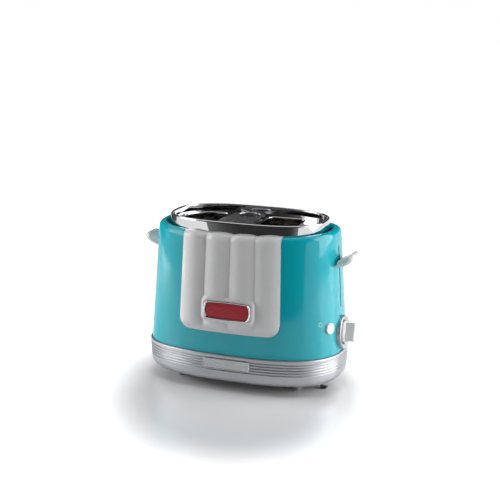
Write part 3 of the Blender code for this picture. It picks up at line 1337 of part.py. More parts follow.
def make_basket():
    """The lift-out basket: a flange on the deck and two slotted wells for sausages."""
    bottom = DECK_TOP + SEAT_GAP
    top = bottom + BASKET_FLANGE_THICKNESS
    basket = place("sausage_basket", plate_mesh([basket_outline(BASKET_FLANGE)], bottom, top), STEEL)
    for name, y in (("front", -WELL_Y), ("rear", WELL_Y)):
        seat = Matrix.Translation((BASKET_X, y, 0))
        tube_top = (bottom + top) / 2
        tube_mesh = cylinder_mesh(WELL_RADIUS + WELL_WALL, WELL_BOTTOM, tube_top, sides=20)
        combine(basket, cutter(f"well_{name}", tube_mesh, seat), "UNION")
    for name, y in (("front", -WELL_Y), ("rear", WELL_Y)):
        seat = Matrix.Translation((BASKET_X, y, 0))
        bore = cylinder_mesh(WELL_RADIUS, WELL_BOTTOM - CUT_OVERRUN, top + CUT_OVERRUN, sides=20)
        combine(basket, cutter(f"well_bore_{name}", bore, seat))
        inward = -math.copysign(1, y)
        half = LIFT_ARM_WIDTH / 2 + 2 * RUNNING_GAP
        reach = WELL_RADIUS + CUT_OVERRUN / 2
        slot_top = platform_top + LEVER_TRAVEL_UP + 2 * RUNNING_GAP
        slot = box_mesh(
            (-half, min(0, inward * reach), WELL_BOTTOM - CUT_OVERRUN), (half, max(0, inward * reach), slot_top)
        )
        combine(basket, cutter(f"arm_slot_{name}", slot, seat))
        window_half = WELL_WINDOW_WIDTH / 2
        low, high = WELL_BOTTOM + WELL_BASE_BAND, bottom - WELL_HEAD_BAND
        for turn_name, turn in (("left", 180), ("right", 0), ("outer", -90 * inward)):
            window = box_mesh((0, -window_half, low), (reach, window_half, high))
            turned_seat = seat @ Matrix.Rotation(math.radians(turn), 4, "Z")
            combine(basket, cutter(f"window_{name}_{turn_name}", window, turned_seat))
    joint_empty("basket_axis", (BASKET_X, 0, DECK_TOP), [basket])


def tray_outline(inset):
    """The tray from above: straight sides and back, its front edge curved with the base ring."""
    left, right = TRAY_X[0] + inset, TRAY_X[1] - inset
    depth = TRAY_FACE_THICKNESS / 2 + inset
    front = []
    for step in range(TRAY_COLUMNS + 1):
        x = lerp(right, left, step / TRAY_COLUMNS)
        front.append((x, plan_reach(x, RING_HALF_LENGTH - depth, RING_HALF_WIDTH - depth)))
    return [(left, TRAY_BACK_Y + inset), (right, TRAY_BACK_Y + inset), *front]


def make_tray():
    tray = place("crumb_tray", plate_mesh([tray_outline(0)], TRAY_FLOOR, TRAY_FLOOR + TRAY_WALL_HEIGHT), STEEL)
    hollow = plate_mesh([tray_outline(TRAY_SHEET)], TRAY_FLOOR + TRAY_SHEET, TRAY_FLOOR + CUT_OVERRUN)
    combine(tray, cutter("tray_hollow", hollow))
    loops = []
    for step in range(TRAY_COLUMNS + 1):
        x = lerp(TRAY_X[0], TRAY_X[1], step / TRAY_COLUMNS)
        outer = plan_reach(x, RING_HALF_LENGTH, RING_HALF_WIDTH)
        inset = TRAY_FACE_THICKNESS
        inner = plan_reach(x, RING_HALF_LENGTH - inset, RING_HALF_WIDTH - inset)
        low, high = TRAY_FACE_BOTTOM, TRAY_FACE_BOTTOM + TRAY_FACE_HEIGHT
        loops.append([(x, outer, low), (x, outer, high), (x, inner, high), (x, inner, low)])
    combine(tray, cutter("tray_face", loft(loops)), "UNION")
    middle = tray_middle()
    reach = plan_reach(middle, RING_HALF_LENGTH, RING_HALF_WIDTH)
    pull = box_mesh(
        (middle - TRAY_PULL_HALF_LENGTH, reach - TRAY_FACE_THICKNESS / 2, TRAY_FACE_BOTTOM),
        (middle + TRAY_PULL_HALF_LENGTH, reach + TRAY_PULL_PROUD, TRAY_FACE_BOTTOM + TRAY_PULL_THICKNESS),
    )
    combine(tray, cutter("tray_pull", pull), "UNION")
    joint_empty("tray_axis", (middle, 0, TRAY_FLOOR), [tray])


make_base_ring()
make_nameplate()
make_base_pan()
make_feet()
make_cord_hooks()
make_shell()
make_panel()
make_badge()
make_frame()
make_heaters()
make_guards()
make_guides()
make_latch()
make_carriage()
make_basket()
make_rim()
make_deck()
make_side_handle()
make_dial()
make_button()
make_electronics()
make_tray()
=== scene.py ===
import math

import bmesh
import bpy
from mathutils import Matrix, Vector


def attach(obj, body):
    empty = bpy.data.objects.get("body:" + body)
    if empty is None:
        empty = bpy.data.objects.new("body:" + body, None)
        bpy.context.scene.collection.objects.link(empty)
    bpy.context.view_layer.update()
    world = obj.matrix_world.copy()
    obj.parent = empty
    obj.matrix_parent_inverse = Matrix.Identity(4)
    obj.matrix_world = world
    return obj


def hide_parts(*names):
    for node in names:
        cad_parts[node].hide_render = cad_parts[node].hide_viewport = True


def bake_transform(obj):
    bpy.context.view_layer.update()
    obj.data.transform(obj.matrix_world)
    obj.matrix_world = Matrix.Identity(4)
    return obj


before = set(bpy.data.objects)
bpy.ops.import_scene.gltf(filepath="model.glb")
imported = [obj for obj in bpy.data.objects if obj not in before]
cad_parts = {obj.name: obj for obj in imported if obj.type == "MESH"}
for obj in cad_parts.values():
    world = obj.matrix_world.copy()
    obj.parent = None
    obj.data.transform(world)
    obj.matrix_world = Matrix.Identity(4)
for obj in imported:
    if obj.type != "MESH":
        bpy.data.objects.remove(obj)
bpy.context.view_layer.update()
print("frame loaded:", len(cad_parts), "nodes")

# the whole body shares one plan outline, a superellipse
plan = {"power": 2.75, "steps": 192}

view = {
    "at": (0.51448, -1.36554, 0.51472),
    "right": (0.93519, 0.35406, 0.00793),
    "up": (-0.09075, 0.21792, 0.97174),
    "forward": (-0.34232, 0.90948, -0.23593),
    "lens": 87.36,
    "sensor": 36,
}


def makeCamera():
    data = bpy.data.cameras.new("view")
    data.lens = view["lens"]
    data.sensor_width = view["sensor"]
    data.clip_start = 0.01
    camera = bpy.data.objects.new("view", data)
    bpy.context.scene.collection.objects.link(camera)
    axes = Matrix((view["right"], view["up"], -Vector(view["forward"]))).transposed().to_4x4()
    camera.matrix_world = Matrix.Translation(view["at"]) @ axes
    bpy.context.scene.camera = camera


makeCamera()


# maths that the outlines share
def mix(low, high, share):
    return low + (high - low) * share


def smooth(share):
    share = min(max(share, 0), 1)
    return share * share * (3 - 2 * share)


def planPoint(halfLength, halfWidth, angle):
    along, across = math.cos(angle), math.sin(angle)
    x = math.copysign(halfLength * abs(along) ** (2 / plan["power"]), along)
    y = math.copysign(halfWidth * abs(across) ** (2 / plan["power"]), across)
    return x, y


def planReach(x, halfLength, halfWidth):
    return halfWidth * (1 - min(abs(x) / halfLength, 1) ** plan["power"]) ** (1 / plan["power"])


def arcPoints(centre, radius, start, end, steps):
    turns = [math.radians(mix(start, end, step / steps)) for step in range(steps + 1)]
    return [(centre[0] + radius * math.cos(turn), centre[1] + radius * math.sin(turn)) for turn in turns]


def eased(points, radius, steps=3, closed=True):
    # each corner of a section or outline is swapped for a short curve
    count = len(points)
    made = []
    for index, point in enumerate(points):
        if not closed and index in (0, count - 1):
            made.append(tuple(point))
            continue
        here = Vector(point)
        before = Vector(points[index - 1]) - here
        after = Vector(points[(index + 1) % count]) - here
        reach = min(radius, before.length * 0.45, after.length * 0.45)
        start, end = here + before.normalized() * reach, here + after.normalized() * reach
        for step in range(steps + 1):
            share = step / steps
            spot = start * (1 - share) ** 2 + here * 2 * share * (1 - share) + end * share * share
            made.append(tuple(spot))
    return made


def roundedRectangle(halfLength, halfWidth, radius, steps=8, centre=(0, 0)):
    right, top = centre[0] + halfLength - radius, centre[1] + halfWidth - radius
    left, bottom = centre[0] - halfLength + radius, centre[1] - halfWidth + radius
    outline = []
    for turn, corner in enumerate([(right, bottom), (right, top), (left, top), (left, bottom)]):
        outline += arcPoints(corner, radius, turn * 90 - 90, turn * 90, steps)
    return outline


# mesh steps that the pieces share
mergeDistance = 1e-6


def vertsIn(items):
    return [item for item in items if isinstance(item, bmesh.types.BMVert)]


def moved(bm, matrix):
    bmesh.ops.transform(bm, matrix=matrix, verts=bm.verts[:])
    return bm


def turned(degrees, axis):
    return Matrix.Rotation(math.radians(degrees), 4, axis)


def facedOut(bm):
    bmesh.ops.recalc_face_normals(bm, faces=bm.faces[:])
    return bm


def merged(bm):
    bmesh.ops.remove_doubles(bm, verts=bm.verts[:], dist=mergeDistance)
    return facedOut(bm)


def linked(made):
    bpy.context.scene.collection.objects.link(made)
    return made


def frozen(piece):
    # a bmesh of the piece with its modifiers applied, which takes its place
    mesh = bpy.data.meshes.new_from_object(piece.evaluated_get(bpy.context.evaluated_depsgraph_get()))
    bpy.data.objects.remove(piece)
    bm = bmesh.new()
    bm.from_mesh(mesh)
    bpy.data.meshes.remove(mesh)
    return bm


def carry(spot, section, steps, closed=True, capped=False):
    # one ring of points, extruded from station to station; spot(index, *station) places each point
    bm = bmesh.new()
    order = bm.verts.layers.int.new("order")
    for index, vert in enumerate(bmesh.ops.create_circle(bm, segments=steps, radius=1)["verts"]):
        vert[order] = index
        vert.co = spot(index, *section[0])
    edges = bm.edges[:]
    first = edges[:]
    for station in section[1:] + (section[:1] if closed else []):
        grown = bmesh.ops.extrude_edge_only(bm, edges=edges)["geom"]
        fresh = set(vertsIn(grown))
        for vert in fresh:
            vert.co = spot(vert[order], *station)
        grown = [item for item in grown if isinstance(item, bmesh.types.BMEdge)]
        edges = [edge for edge in grown if set(edge.verts) <= fresh]
    if capped:
        bmesh.ops.contextual_create(bm, geom=first)
        bmesh.ops.contextual_create(bm, geom=edges)
    return merged(bm)


def carryBody(halfSizes, section):
    # a section of (inset, level) carried round the body's own outline
    def spot(index, inset, level):
        halfLength, halfWidth = (half - inset for half in halfSizes)
        return (*planPoint(halfLength, halfWidth, math.tau * index / plan["steps"]), level)

    return carry(spot, section, plan["steps"])


def gridOf(columns, rows, size=1):
    bm = bmesh.new()
    bmesh.ops.create_grid(bm, x_segments=columns, y_segments=rows, size=size)
    return bm


def roundOff(bm, edges, width, segments):
    size = {"offset": width, "segments": segments, "profile": 0.5}
    bmesh.ops.bevel(bm, geom=edges, affect="EDGES", material=-1, **size)


def slabOf(outline, bottom, top, edge=0, segments=2):
    # a flat outline filled, drawn up to a slab, and its edges eased
    bm = bmesh.new()
    order = bmesh.ops.create_circle(bm, segments=len(outline), radius=1)["verts"]
    for vert, (x, y) in zip(order, outline):
        vert.co = (x, y, bottom)
    face = bmesh.ops.contextual_create(bm, geom=bm.edges[:])["faces"]
    grown = bmesh.ops.extrude_face_region(bm, geom=face)["geom"]
    bmesh.ops.translate(bm, verts=vertsIn(grown), vec=(0, 0, top - bottom))
    facedOut(bm)
    if edge:
        corners = [item for item in bm.edges if item.calc_face_angle(0) > math.radians(60)]
        roundOff(bm, corners, edge, segments)
    return bm


def blockOf(low, high, edge=0, segments=2):
    bm = bmesh.new()
    bmesh.ops.create_cube(bm, size=1)
    bmesh.ops.scale(bm, verts=bm.verts[:], vec=Vector(high) - Vector(low))
    bmesh.ops.translate(bm, verts=bm.verts[:], vec=(Vector(low) + Vector(high)) / 2)
    if edge:
        roundOff(bm, bm.edges[:], edge, segments)
    return bm


def spun(profile, steps, placed=None):
    # a profile of (radius, height) spun about local z
    bm = bmesh.new()
    spots = [bm.verts.new((radius, 0, height)) for radius, height in profile]
    edges = [bm.edges.new(pair) for pair in zip(spots, spots[1:])]
    around = {"cent": (0, 0, 0), "axis": (0, 0, 1), "angle": math.tau}
    bmesh.ops.spin(bm, geom=spots + edges, steps=steps, use_merge=True, use_duplicate=False, **around)
    merged(bm)
    return moved(bm, placed) if placed else bm


def rodOf(points, radius, sides):
    # a round wire along a list of points
    curve = bpy.data.curves.new("wire", "CURVE")
    curve.dimensions = "3D"
    curve.bevel_depth = radius
    curve.bevel_resolution = max(sides // 4 - 1, 0)
    curve.use_fill_caps = True
    line = curve.splines.new("POLY")
    line.points.add(len(points) - 1)
    for spot, position in zip(line.points, points):
        spot.co = (*position, 1)
    return merged(frozen(linked(bpy.data.objects.new("wire", curve))))


def looseObject(bm, name):
    mesh = bpy.data.meshes.new(name)
    bm.to_mesh(mesh)
    bm.free()
    return linked(bpy.data.objects.new(name, mesh))


def absorb(whole, part):
    holder = bpy.data.meshes.new("holder")
    part.to_mesh(holder)
    part.free()
    whole.from_mesh(holder)
    bpy.data.meshes.remove(holder)


def carve(bm, tools, operation="DIFFERENCE"):
    # exact Booleans, applied, after which the tools go
    piece = looseObject(bm, "blank")
    helpers = [looseObject(tool, "tool") for tool in tools]
    for helper in helpers:
        step = piece.modifiers.new("carve", "BOOLEAN")
        step.operation = operation
        step.solver = "EXACT"
        step.object = helper
    made = frozen(piece)
    for helper in helpers:
        bpy.data.objects.remove(helper)
    bmesh.ops.remove_doubles(made, verts=made.verts[:], dist=mergeDistance)
    bmesh.ops.dissolve_degenerate(made, edges=made.edges[:], dist=mergeDistance)
    return made


def settle(bm, name, material, replaced=None, body="housing", sharp=35):
    # a finished piece of the object
    made = looseObject(bm, name)
    made.data.shade_smooth()
    made.data.set_sharp_from_angle(angle=math.radians(sharp))
    made.data.materials.append(material)
    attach(made, body)
    if replaced:
        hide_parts(replaced)
    return made


def facedFront(bm):
    facedOut(bm)
    if sum(face.normal.y for face in bm.faces) > 0:
        bmesh.ops.reverse_faces(bm, faces=bm.faces[:])
    return bm


def thicken(sheet, thickness):
    step = sheet.modifiers.new("wall", "SOLIDIFY")
    step.thickness = thickness
    step.offset = -1


def easeEdges(piece, width, segments, angle):
    step = piece.modifiers.new("eased edges", "BEVEL")
    step.width = width
    step.segments = segments
    step.limit_method = "ANGLE"
    step.angle_limit = math.radians(angle)
    step.use_clamp_overlap = True
    step.harden_normals = False


# effects that the finishes share
def newGroup(name, inputs):
    # every group gives a height, a roughness and a mask
    group = bpy.data.node_groups.new(name, "ShaderNodeTree")
    for label, value in inputs.items():
        kind = "NodeSocketVector" if isinstance(value, tuple) else "NodeSocketFloat"
        group.interface.new_socket(label, in_out="INPUT", socket_type=kind).default_value = value
    for label in ("Height", "Roughness", "Mask"):
        group.interface.new_socket(label, in_out="OUTPUT", socket_type="NodeSocketFloat")
    return group, group.nodes.new("NodeGroupInput").outputs


def feed(tree, node, inputs):
    # other nodes' outputs are linked, plain values are set
    for socket, source in inputs.items():
        if isinstance(source, bpy.types.NodeSocket):
            tree.links.new(source, node.inputs[socket])
        else:
            node.inputs[socket].default_value = source


def addNode(tree, kind, inputs=None, **settings):
    node = tree.nodes.new(kind)
    for key, value in settings.items():
        setattr(node, key, value)
    feed(tree, node, inputs or {})
    return node


def ownPlace(tree):
    return addNode(tree, "ShaderNodeTexCoord").outputs["Object"]


def mathsOf(tree, operation, *values):
    return addNode(tree, "ShaderNodeMath", dict(enumerate(values)), operation=operation).outputs[0]


def noiseAt(tree, place, scale, detail):
    inputs = {"Vector": place, "Scale": scale, "Detail": detail}
    return addNode(tree, "ShaderNodeTexNoise", inputs)


def spreadOver(tree, value, low, high, bottom=0.0, top=1.0, kind="SMOOTHSTEP"):
    inputs = {"Value": value, "From Min": low, "From Max": high, "To Min": bottom, "To Max": top}
    return addNode(tree, "ShaderNodeMapRange", inputs, interpolation_type=kind).outputs["Result"]


def makeMouldedGrain():
    # faint waviness of a moulded gloss surface, with smudges in its gloss
    values = {"Ripple Scale": 220.0, "Smudge Scale": 28.0, "Gloss": 0.12, "Smudge": 0.08}
    group, given = newGroup("mouldedGrain", values)
    place = ownPlace(group)
    ripple = noiseAt(group, place, given["Ripple Scale"], 2).outputs["Fac"]
    smudge = noiseAt(group, place, given["Smudge Scale"], 5)
    smudge.inputs["Roughness"].default_value = 0.6
    mask = spreadOver(group, smudge.outputs["Fac"], 0.42, 0.72)
    rough = mathsOf(group, "MULTIPLY_ADD", mask, given["Smudge"], given["Gloss"])
    addNode(group, "NodeGroupOutput", {"Height": ripple, "Roughness": rough, "Mask": mask})
    return group


def makeDrawnMetal():
    # fine drawn lines with a few deeper scratches; Stretch lays them along an axis
    values = {"Stretch": (40.0, 900.0, 900.0), "Gloss": 0.25, "Spread": 0.15}
    group, given = newGroup("drawnMetal", values)
    place = ownPlace(group)
    laid = addNode(group, "ShaderNodeVectorMath", {0: place, 1: given["Stretch"]}, operation="MULTIPLY")
    lines = noiseAt(group, laid.outputs["Vector"], 1, 4).outputs["Fac"]
    blotch = noiseAt(group, place, 45, 4).outputs["Fac"]
    both = mathsOf(group, "MULTIPLY", lines, blotch)
    rough = mathsOf(group, "MULTIPLY_ADD", both, given["Spread"], given["Gloss"])
    addNode(group, "NodeGroupOutput", {"Height": lines, "Roughness": rough, "Mask": blotch})
    return group


mouldedGrain = makeMouldedGrain()
drawnMetal = makeDrawnMetal()


def startMaterial(name):
    material = bpy.data.materials.new(name)
    material.use_nodes = True
    return material, material.node_tree, material.node_tree.nodes["Principled BSDF"]


def useGroup(tree, group, values):
    return addNode(tree, "ShaderNodeGroup", values, node_tree=group).outputs


def twoTones(tree, mask, first, second):
    # a colour mix has its factor at 0 and its two colours at 6 and 7
    inputs = {0: mask, 6: (*first, 1), 7: (*second, 1)}
    return addNode(tree, "ShaderNodeMix", inputs, data_type="RGBA").outputs[2]


def bumpFrom(tree, height, strength, distance):
    inputs = {"Height": height, "Strength": strength, "Distance": distance}
    return addNode(tree, "ShaderNodeBump", inputs).outputs["Normal"]


def makeFinish(name, group, values, tones, bump, depth, more):
    material, tree, shader = startMaterial(name)
    effect = useGroup(tree, group, values)
    inputs = {
        "Base Color": twoTones(tree, effect["Mask"], *tones),
        "Roughness": effect["Roughness"],
        "Normal": bumpFrom(tree, effect["Height"], bump, depth),
    }
    feed(tree, shader, {**inputs, **more})
    return material


def mouldedFinish(name, tone, worn, gloss, smudge, bump, coat=0.0):
    values = {"Gloss": gloss, "Smudge": smudge}
    more = {"Coat Weight": coat, "Coat Roughness": 0.04, "IOR": 1.5}
    return makeFinish(name, mouldedGrain, values, (tone, worn), bump, 0.0004, more)


def metalFinish(name, tone, worn, stretch, gloss, spread, bump, metallic=1.0):
    values = {"Stretch": stretch, "Gloss": gloss, "Spread": spread}
    return makeFinish(name, drawnMetal, values, (tone, worn), bump, 0.0002, {"Metallic": metallic})


# tone, worn tone, gloss, smudge, bump
tealGloss = mouldedFinish("tealGloss", (0.002, 0.39, 0.465), (0.003, 0.375, 0.45), 0.07, 0.05, 0.04)
whiteGloss = mouldedFinish("whiteGloss", (0.70, 0.70, 0.70), (0.675, 0.675, 0.68), 0.14, 0.08, 0.05)
redEnamel = mouldedFinish(
    "redEnamel", (0.42, 0.006, 0.018), (0.36, 0.004, 0.014), 0.1, 0.08, 0.06, coat=0.6
)
markPaint = mouldedFinish("markPaint", (0.62, 0.72, 0.56), (0.55, 0.66, 0.52), 0.3, 0.15, 0.05)
blackPlastic = mouldedFinish("blackPlastic", (0.018, 0.018, 0.02), (0.028, 0.028, 0.03), 0.38, 0.15, 0.3)
greyRubber = mouldedFinish("greyRubber", (0.30, 0.30, 0.31), (0.24, 0.24, 0.25), 0.6, 0.2, 0.4)
# tone, worn tone, stretch, gloss, spread, bump
silverPaint = metalFinish(
    "silverPaint", (0.50, 0.51, 0.53), (0.46, 0.47, 0.49), (700, 700, 700), 0.26, 0.14, 0.1, 0.75
)
platePaint = metalFinish(
    "platePaint", (0.56, 0.57, 0.58), (0.50, 0.51, 0.52), (40, 40, 1500), 0.24, 0.14, 0.15, 0.85
)
chromePlate = metalFinish(
    "chromePlate", (0.78, 0.78, 0.79), (0.72, 0.72, 0.73), (60, 60, 60), 0.03, 0.08, 0.02
)
mirrorSteel = metalFinish(
    "mirrorSteel", (0.56, 0.56, 0.56), (0.50, 0.50, 0.50), (40, 1200, 1200), 0.05, 0.14, 0.05
)
sheetSteel = metalFinish(
    "sheetSteel", (0.52, 0.52, 0.53), (0.44, 0.44, 0.45), (1200, 1200, 50), 0.22, 0.2, 0.12
)
copperWire = metalFinish(
    "copperWire", (0.60, 0.24, 0.11), (0.48, 0.18, 0.08), (60, 60, 2600), 0.28, 0.15, 0.5
)


def makeMica():
    # layered mica: flecked, silvery brown, with dark specks
    material, tree, shader = startMaterial("micaBoard")
    place = ownPlace(tree)
    flake = addNode(tree, "ShaderNodeTexVoronoi", {"Vector": place, "Scale": 260}).outputs["Distance"]
    speck = noiseAt(tree, place, 900, 2).outputs["Fac"]
    mottled = mathsOf(tree, "MULTIPLY", flake, speck)
    inputs = {
        "Base Color": twoTones(tree, mottled, (0.50, 0.43, 0.33), (0.30, 0.24, 0.17)),
        "Roughness": spreadOver(tree, speck, 0, 1, 0.35, 0.65, "LINEAR"),
        "Normal": bumpFrom(tree, flake, 0.25, 0.0003),
    }
    feed(tree, shader, inputs)
    return material


def makeBoardGreen():
    # solder mask with copper tracks under it
    material, tree, shader = startMaterial("boardGreen")
    place = ownPlace(tree)
    uprightTurn = (0, math.radians(90), math.radians(90))
    facing = addNode(tree, "ShaderNodeMapping", {"Vector": place, "Rotation": uprightTurn})
    inputs = {
        "Vector": facing.outputs["Vector"],
        "Scale": 90,
        "Mortar Size": 0.03,
        "Color1": (0.012, 0.11, 0.045, 1),
        "Color2": (0.016, 0.14, 0.055, 1),
        "Mortar": (0.05, 0.30, 0.12, 1),
    }
    tracks = addNode(tree, "ShaderNodeTexBrick", inputs).outputs
    grain = useGroup(tree, mouldedGrain, {"Gloss": 0.3, "Smudge": 0.2})
    raised = bumpFrom(tree, tracks["Fac"], 0.3, 0.0002)
    feed(tree, shader, {"Base Color": tracks["Color"], "Roughness": grain["Roughness"], "Normal": raised})
    return material


micaBoard = makeMica()
boardGreen = makeBoardGreen()
print("finishes made")


# the teal shell, which leans inwards and rises to both ends
shell = {
    "baseHalf": (0.1228, 0.0756),
    "topHalf": (0.1130, 0.0652),
    "floor": 0.0469,
    "bottom": 0.0472,
    "top": 0.1920,
    "wall": 0.0025,
    "shoulder": 0.0070,
    "lipRadius": 0.0009,
    "lipDepth": 0.0060,
    "lipWall": 0.0020,
    "saddle": 0.0046,
    "wallRows": 20,
    "shoulderRows": 12,
    "under": 0.01,
    "footEase": 0.0002,
    "windowGap": 0.0003,
    "windowReach": (0.044, 0.120),
    "slotReach": (0.095, 0.140),
    "cutReach": 0.01,
}
shoulderLevel = shell["top"] - shell["shoulder"]
endLean = math.atan2(shell["baseHalf"][0] - shell["topHalf"][0], shell["top"] - shell["floor"])


def shellHalf(level):
    share = (level - shell["floor"]) / (shell["top"] - shell["floor"])
    return tuple(mix(base, top, share) for base, top in zip(shell["baseHalf"], shell["topHalf"]))


def endPlace(y, level):
    # the x at which the right half of the shell's wall has this y
    halfLength, halfWidth = shellHalf(level)
    return planReach(y, halfWidth, halfLength)


def saddle(x, level):
    share = min(max((level - shell["floor"]) / (shoulderLevel - shell["floor"]), 0), 1)
    return shell["saddle"] * share * (x / shell["topHalf"][0]) ** 2


def shoulderSection(rows):
    # (inset, level, lean) from the top of the wall over the shoulder and down the lip
    made = []
    upright = math.radians(90)
    radius = shell["shoulder"]
    for row in range(1, rows + 1):
        turn = upright * row / rows
        made.append((radius * (1 - math.cos(turn)), shoulderLevel + radius * math.sin(turn), turn))
    lip = shell["lipRadius"]
    for row in range(1, 5):
        turn = upright * row / 4
        made.append((radius + lip * math.sin(turn), shell["top"] - lip * (1 - math.cos(turn)), upright))
    made.append((radius + lip, shell["top"] - shell["lipDepth"], upright))
    return made


def shellSpot(index, inset, level):
    halfLength, halfWidth = shellHalf(level)
    x, y = planPoint(halfLength - inset, halfWidth - inset, math.tau * index / plan["steps"])
    return x, y, level + saddle(x, level)


def shellEnvelope(grown, rows=12):
    # the shell's outside as a solid, for pieces shaped against it
    foot = shell["floor"] - shell["under"]
    section = [(-grown, mix(foot, shoulderLevel, row / rows)) for row in range(rows + 1)]
    return carry(shellSpot, section, plan["steps"], closed=False, capped=True)


panel = {
    "bottom": 0.0740,
    "bottomHalf": 0.0648,
    "topHalf": 0.0618,
    "corner": 0.0150,
    "ribs": 4,
    "ribHeight": 0.0030,
    "ribPower": 2.1,
    "ribFoot": 0.0770,
    "ribFade": 0.0075,
    "headShare": 0.55,
    "proud": 0.0002,
    "over": 0.0146,
    "columns": 160,
    "rows": 118,
    "shoulderRows": 14,
    "thickness": 0.0021,
    "edge": 0.0005,
}
badge = {
    "centre": 0.1020,
    "half": 0.0303,
    "cornerHalf": 0.0276,
    "halfHeight": 0.0110,
    "crown": 0.0008,
    "thickness": 0.0022,
    "rim": 0.0020,
    "bossMargin": 0.0008,
    "bossProud": 0.0030,
    "bossRamp": 0.0050,
    "gap": 0.0003,
    "corner": 0.0022,
    "leastCorner": 0.0006,
    # shares of the rim's width and of the thickness
    "section": [
        (0, 0),
        (0, 0.45),
        (0.06, 0.72),
        (0.20, 0.9),
        (0.425, 1),
        (0.625, 1),
        (0.8, 0.93),
        (0.95, 0.78),
        (1, 0.6),
        (1, 0),
    ],
    "ribs": 11,
    "ribHeight": 0.00022,
    "dome": 0.0006,
    "insertHeight": 0.0007,
}


def panelHalf(level):
    share = (level - panel["bottom"]) / (shell["top"] - panel["bottom"])
    return mix(panel["bottomHalf"], panel["topHalf"], share)


def panelWindow(margin, steps=16):
    radius = panel["corner"] + margin
    top, bottom = shell["top"] + panel["over"], panel["bottom"] - margin
    foot = panelHalf(panel["bottom"] + panel["corner"]) + margin
    right = arcPoints((foot - radius, bottom + radius), radius, -90, 0, steps)
    right.append((panelHalf(top) + margin, top))
    return right + [(-x, z) for x, z in reversed(right)]


lever = {
    "level": 0.1574,
    "travelDown": 0.0520,
    "travelUp": 0.0150,
    "armHeight": 0.0050,
    "slotWidth": 0.0028,
    "slotMargin": 0.0016,
}
dial = {"level": 0.0691, "spigot": 0.0170, "gap": 0.0003}
button = {
    "level": 0.0820,
    "y": -0.0331,
    "radius": 0.0070,
    "gap": 0.0003,
    "depth": 0.0044,
    # a flat face, a groove and a rounded brow
    "face": [
        (0, 0.0024),
        (0.0030, 0.0023),
        (0.0048, 0.0021),
        (0.0053, 0.00205),
        (0.0057, 0.0024),
        (0.0061, 0.0025),
        (0.0066, 0.0023),
        (0.0070, 0.0018),
    ],
}


def dialSeat():
    spot = Matrix.Translation((shellHalf(dial["level"])[0], 0, dial["level"]))
    return spot @ Matrix.Rotation(-endLean, 4, "Y") @ Matrix(((0, 0, 1), (1, 0, 0), (0, 1, 0))).to_4x4()


def buttonSeat():
    halfLength, halfWidth = shellHalf(button["level"])
    slope = plan["power"] - 1
    x = endPlace(button["y"], button["level"])
    along = (x / halfLength) ** slope / halfLength
    across = (abs(button["y"]) / halfWidth) ** slope / halfWidth
    outward = Vector((along, -across, 0)).normalized()
    outward.z = math.tan(endLean)
    outward.normalize()
    across = Vector((0, 0, 1)).cross(outward).normalized()
    axes = Matrix((across, outward.cross(across), outward)).transposed().to_4x4()
    return Matrix.Translation((x, button["y"], button["level"])) @ axes


def plugOf(radius, reach, steps, seat):
    # a round cutter that reaches as far in as out
    return spun([(0, -reach), (radius, -reach), (radius, reach), (0, reach)], steps, seat)


def facingFront(bm, y):
    # a slab drawn in x and z, turned to stand across the front and moved to y
    return moved(bm, Matrix.Translation((0, y, 0)) @ turned(90, "X"))


def makeShell():
    rows, bottom, ease = shell["wallRows"], shell["bottom"], shell["footEase"]
    section = [(ease * 2, bottom), (ease / 2, bottom + ease)]
    section += [(0, mix(bottom + ease * 2.5, shoulderLevel, row / rows)) for row in range(rows + 1)]
    section += [(inset, level) for inset, level, _ in shoulderSection(shell["shoulderRows"])]
    # up inside the lip, back under the shoulder and down inside the wall
    shoulder, inner = shell["shoulder"], shell["shoulder"] - shell["wall"]
    lipInset = shoulder + shell["lipRadius"] - shell["lipWall"]
    topTurn = math.acos((shoulder - lipInset) / inner)
    section.append((lipInset, shell["top"] - shell["lipDepth"]))
    for share in (1, 0.66, 0.33, 0):
        turn = topTurn * share
        section.append((shoulder - inner * math.cos(turn), shoulderLevel + inner * math.sin(turn)))
    section += [(shell["wall"], mix(shoulderLevel, shell["bottom"], row / 4)) for row in range(1, 5)]
    body = carry(shellSpot, section, plan["steps"])

    window = facingFront(slabOf(panelWindow(shell["windowGap"]), *shell["windowReach"]), 0)
    level, half = lever["level"], lever["armHeight"] / 2 + lever["slotMargin"]
    slotHalf = lever["slotWidth"] / 2
    near, far = shell["slotReach"]
    low, high = level - half - lever["travelDown"], level + half + lever["travelUp"]
    slot = blockOf((near, -slotHalf, low), (far, slotHalf, high))
    hole = plugOf(dial["spigot"] + dial["gap"], shell["cutReach"], 64, dialSeat())
    bore = plugOf(button["radius"] + button["gap"], shell["cutReach"], 48, buttonSeat())
    made = carve(body, [window, slot, hole, bore])
    settle(made, "tealShell", tealGloss, "outer_shell")


def panelRelief(share, x, level):
    # how far the white face stands out of the shell's wall
    position = (share + 1) / 2 * panel["ribs"]
    across = 2 * (position - math.floor(min(position, panel["ribs"] - 1e-6))) - 1
    crest = panel["ribHeight"] * (1 - abs(across) ** panel["ribPower"])
    crest *= smooth((level - panel["ribFoot"]) / panel["ribFade"])
    halfLength, halfWidth = shellHalf(level)
    flat = badge["bossProud"] + halfWidth - planReach(x, halfLength, halfWidth)
    inLength = badge["half"] + badge["bossMargin"] - abs(x)
    inHeight = badge["halfHeight"] + badge["bossMargin"] - abs(level - badge["centre"])
    corner = badge["bossRamp"] * 0.9
    reach = min(inLength, inHeight)
    if inLength < corner and inHeight < corner:
        reach = corner - math.hypot(corner - inLength, corner - inHeight)
    boss = flat * smooth(1 + reach / badge["bossRamp"])
    return panel["proud"] + max(crest, boss)


def panelBottomAt(share):
    foot = panelHalf(panel["bottom"] + panel["corner"])
    into = abs(share) * foot - (foot - panel["corner"])
    if into <= 0:
        return panel["bottom"]
    return panel["bottom"] + panel["corner"] - math.sqrt(max(panel["corner"] ** 2 - into**2, 0))


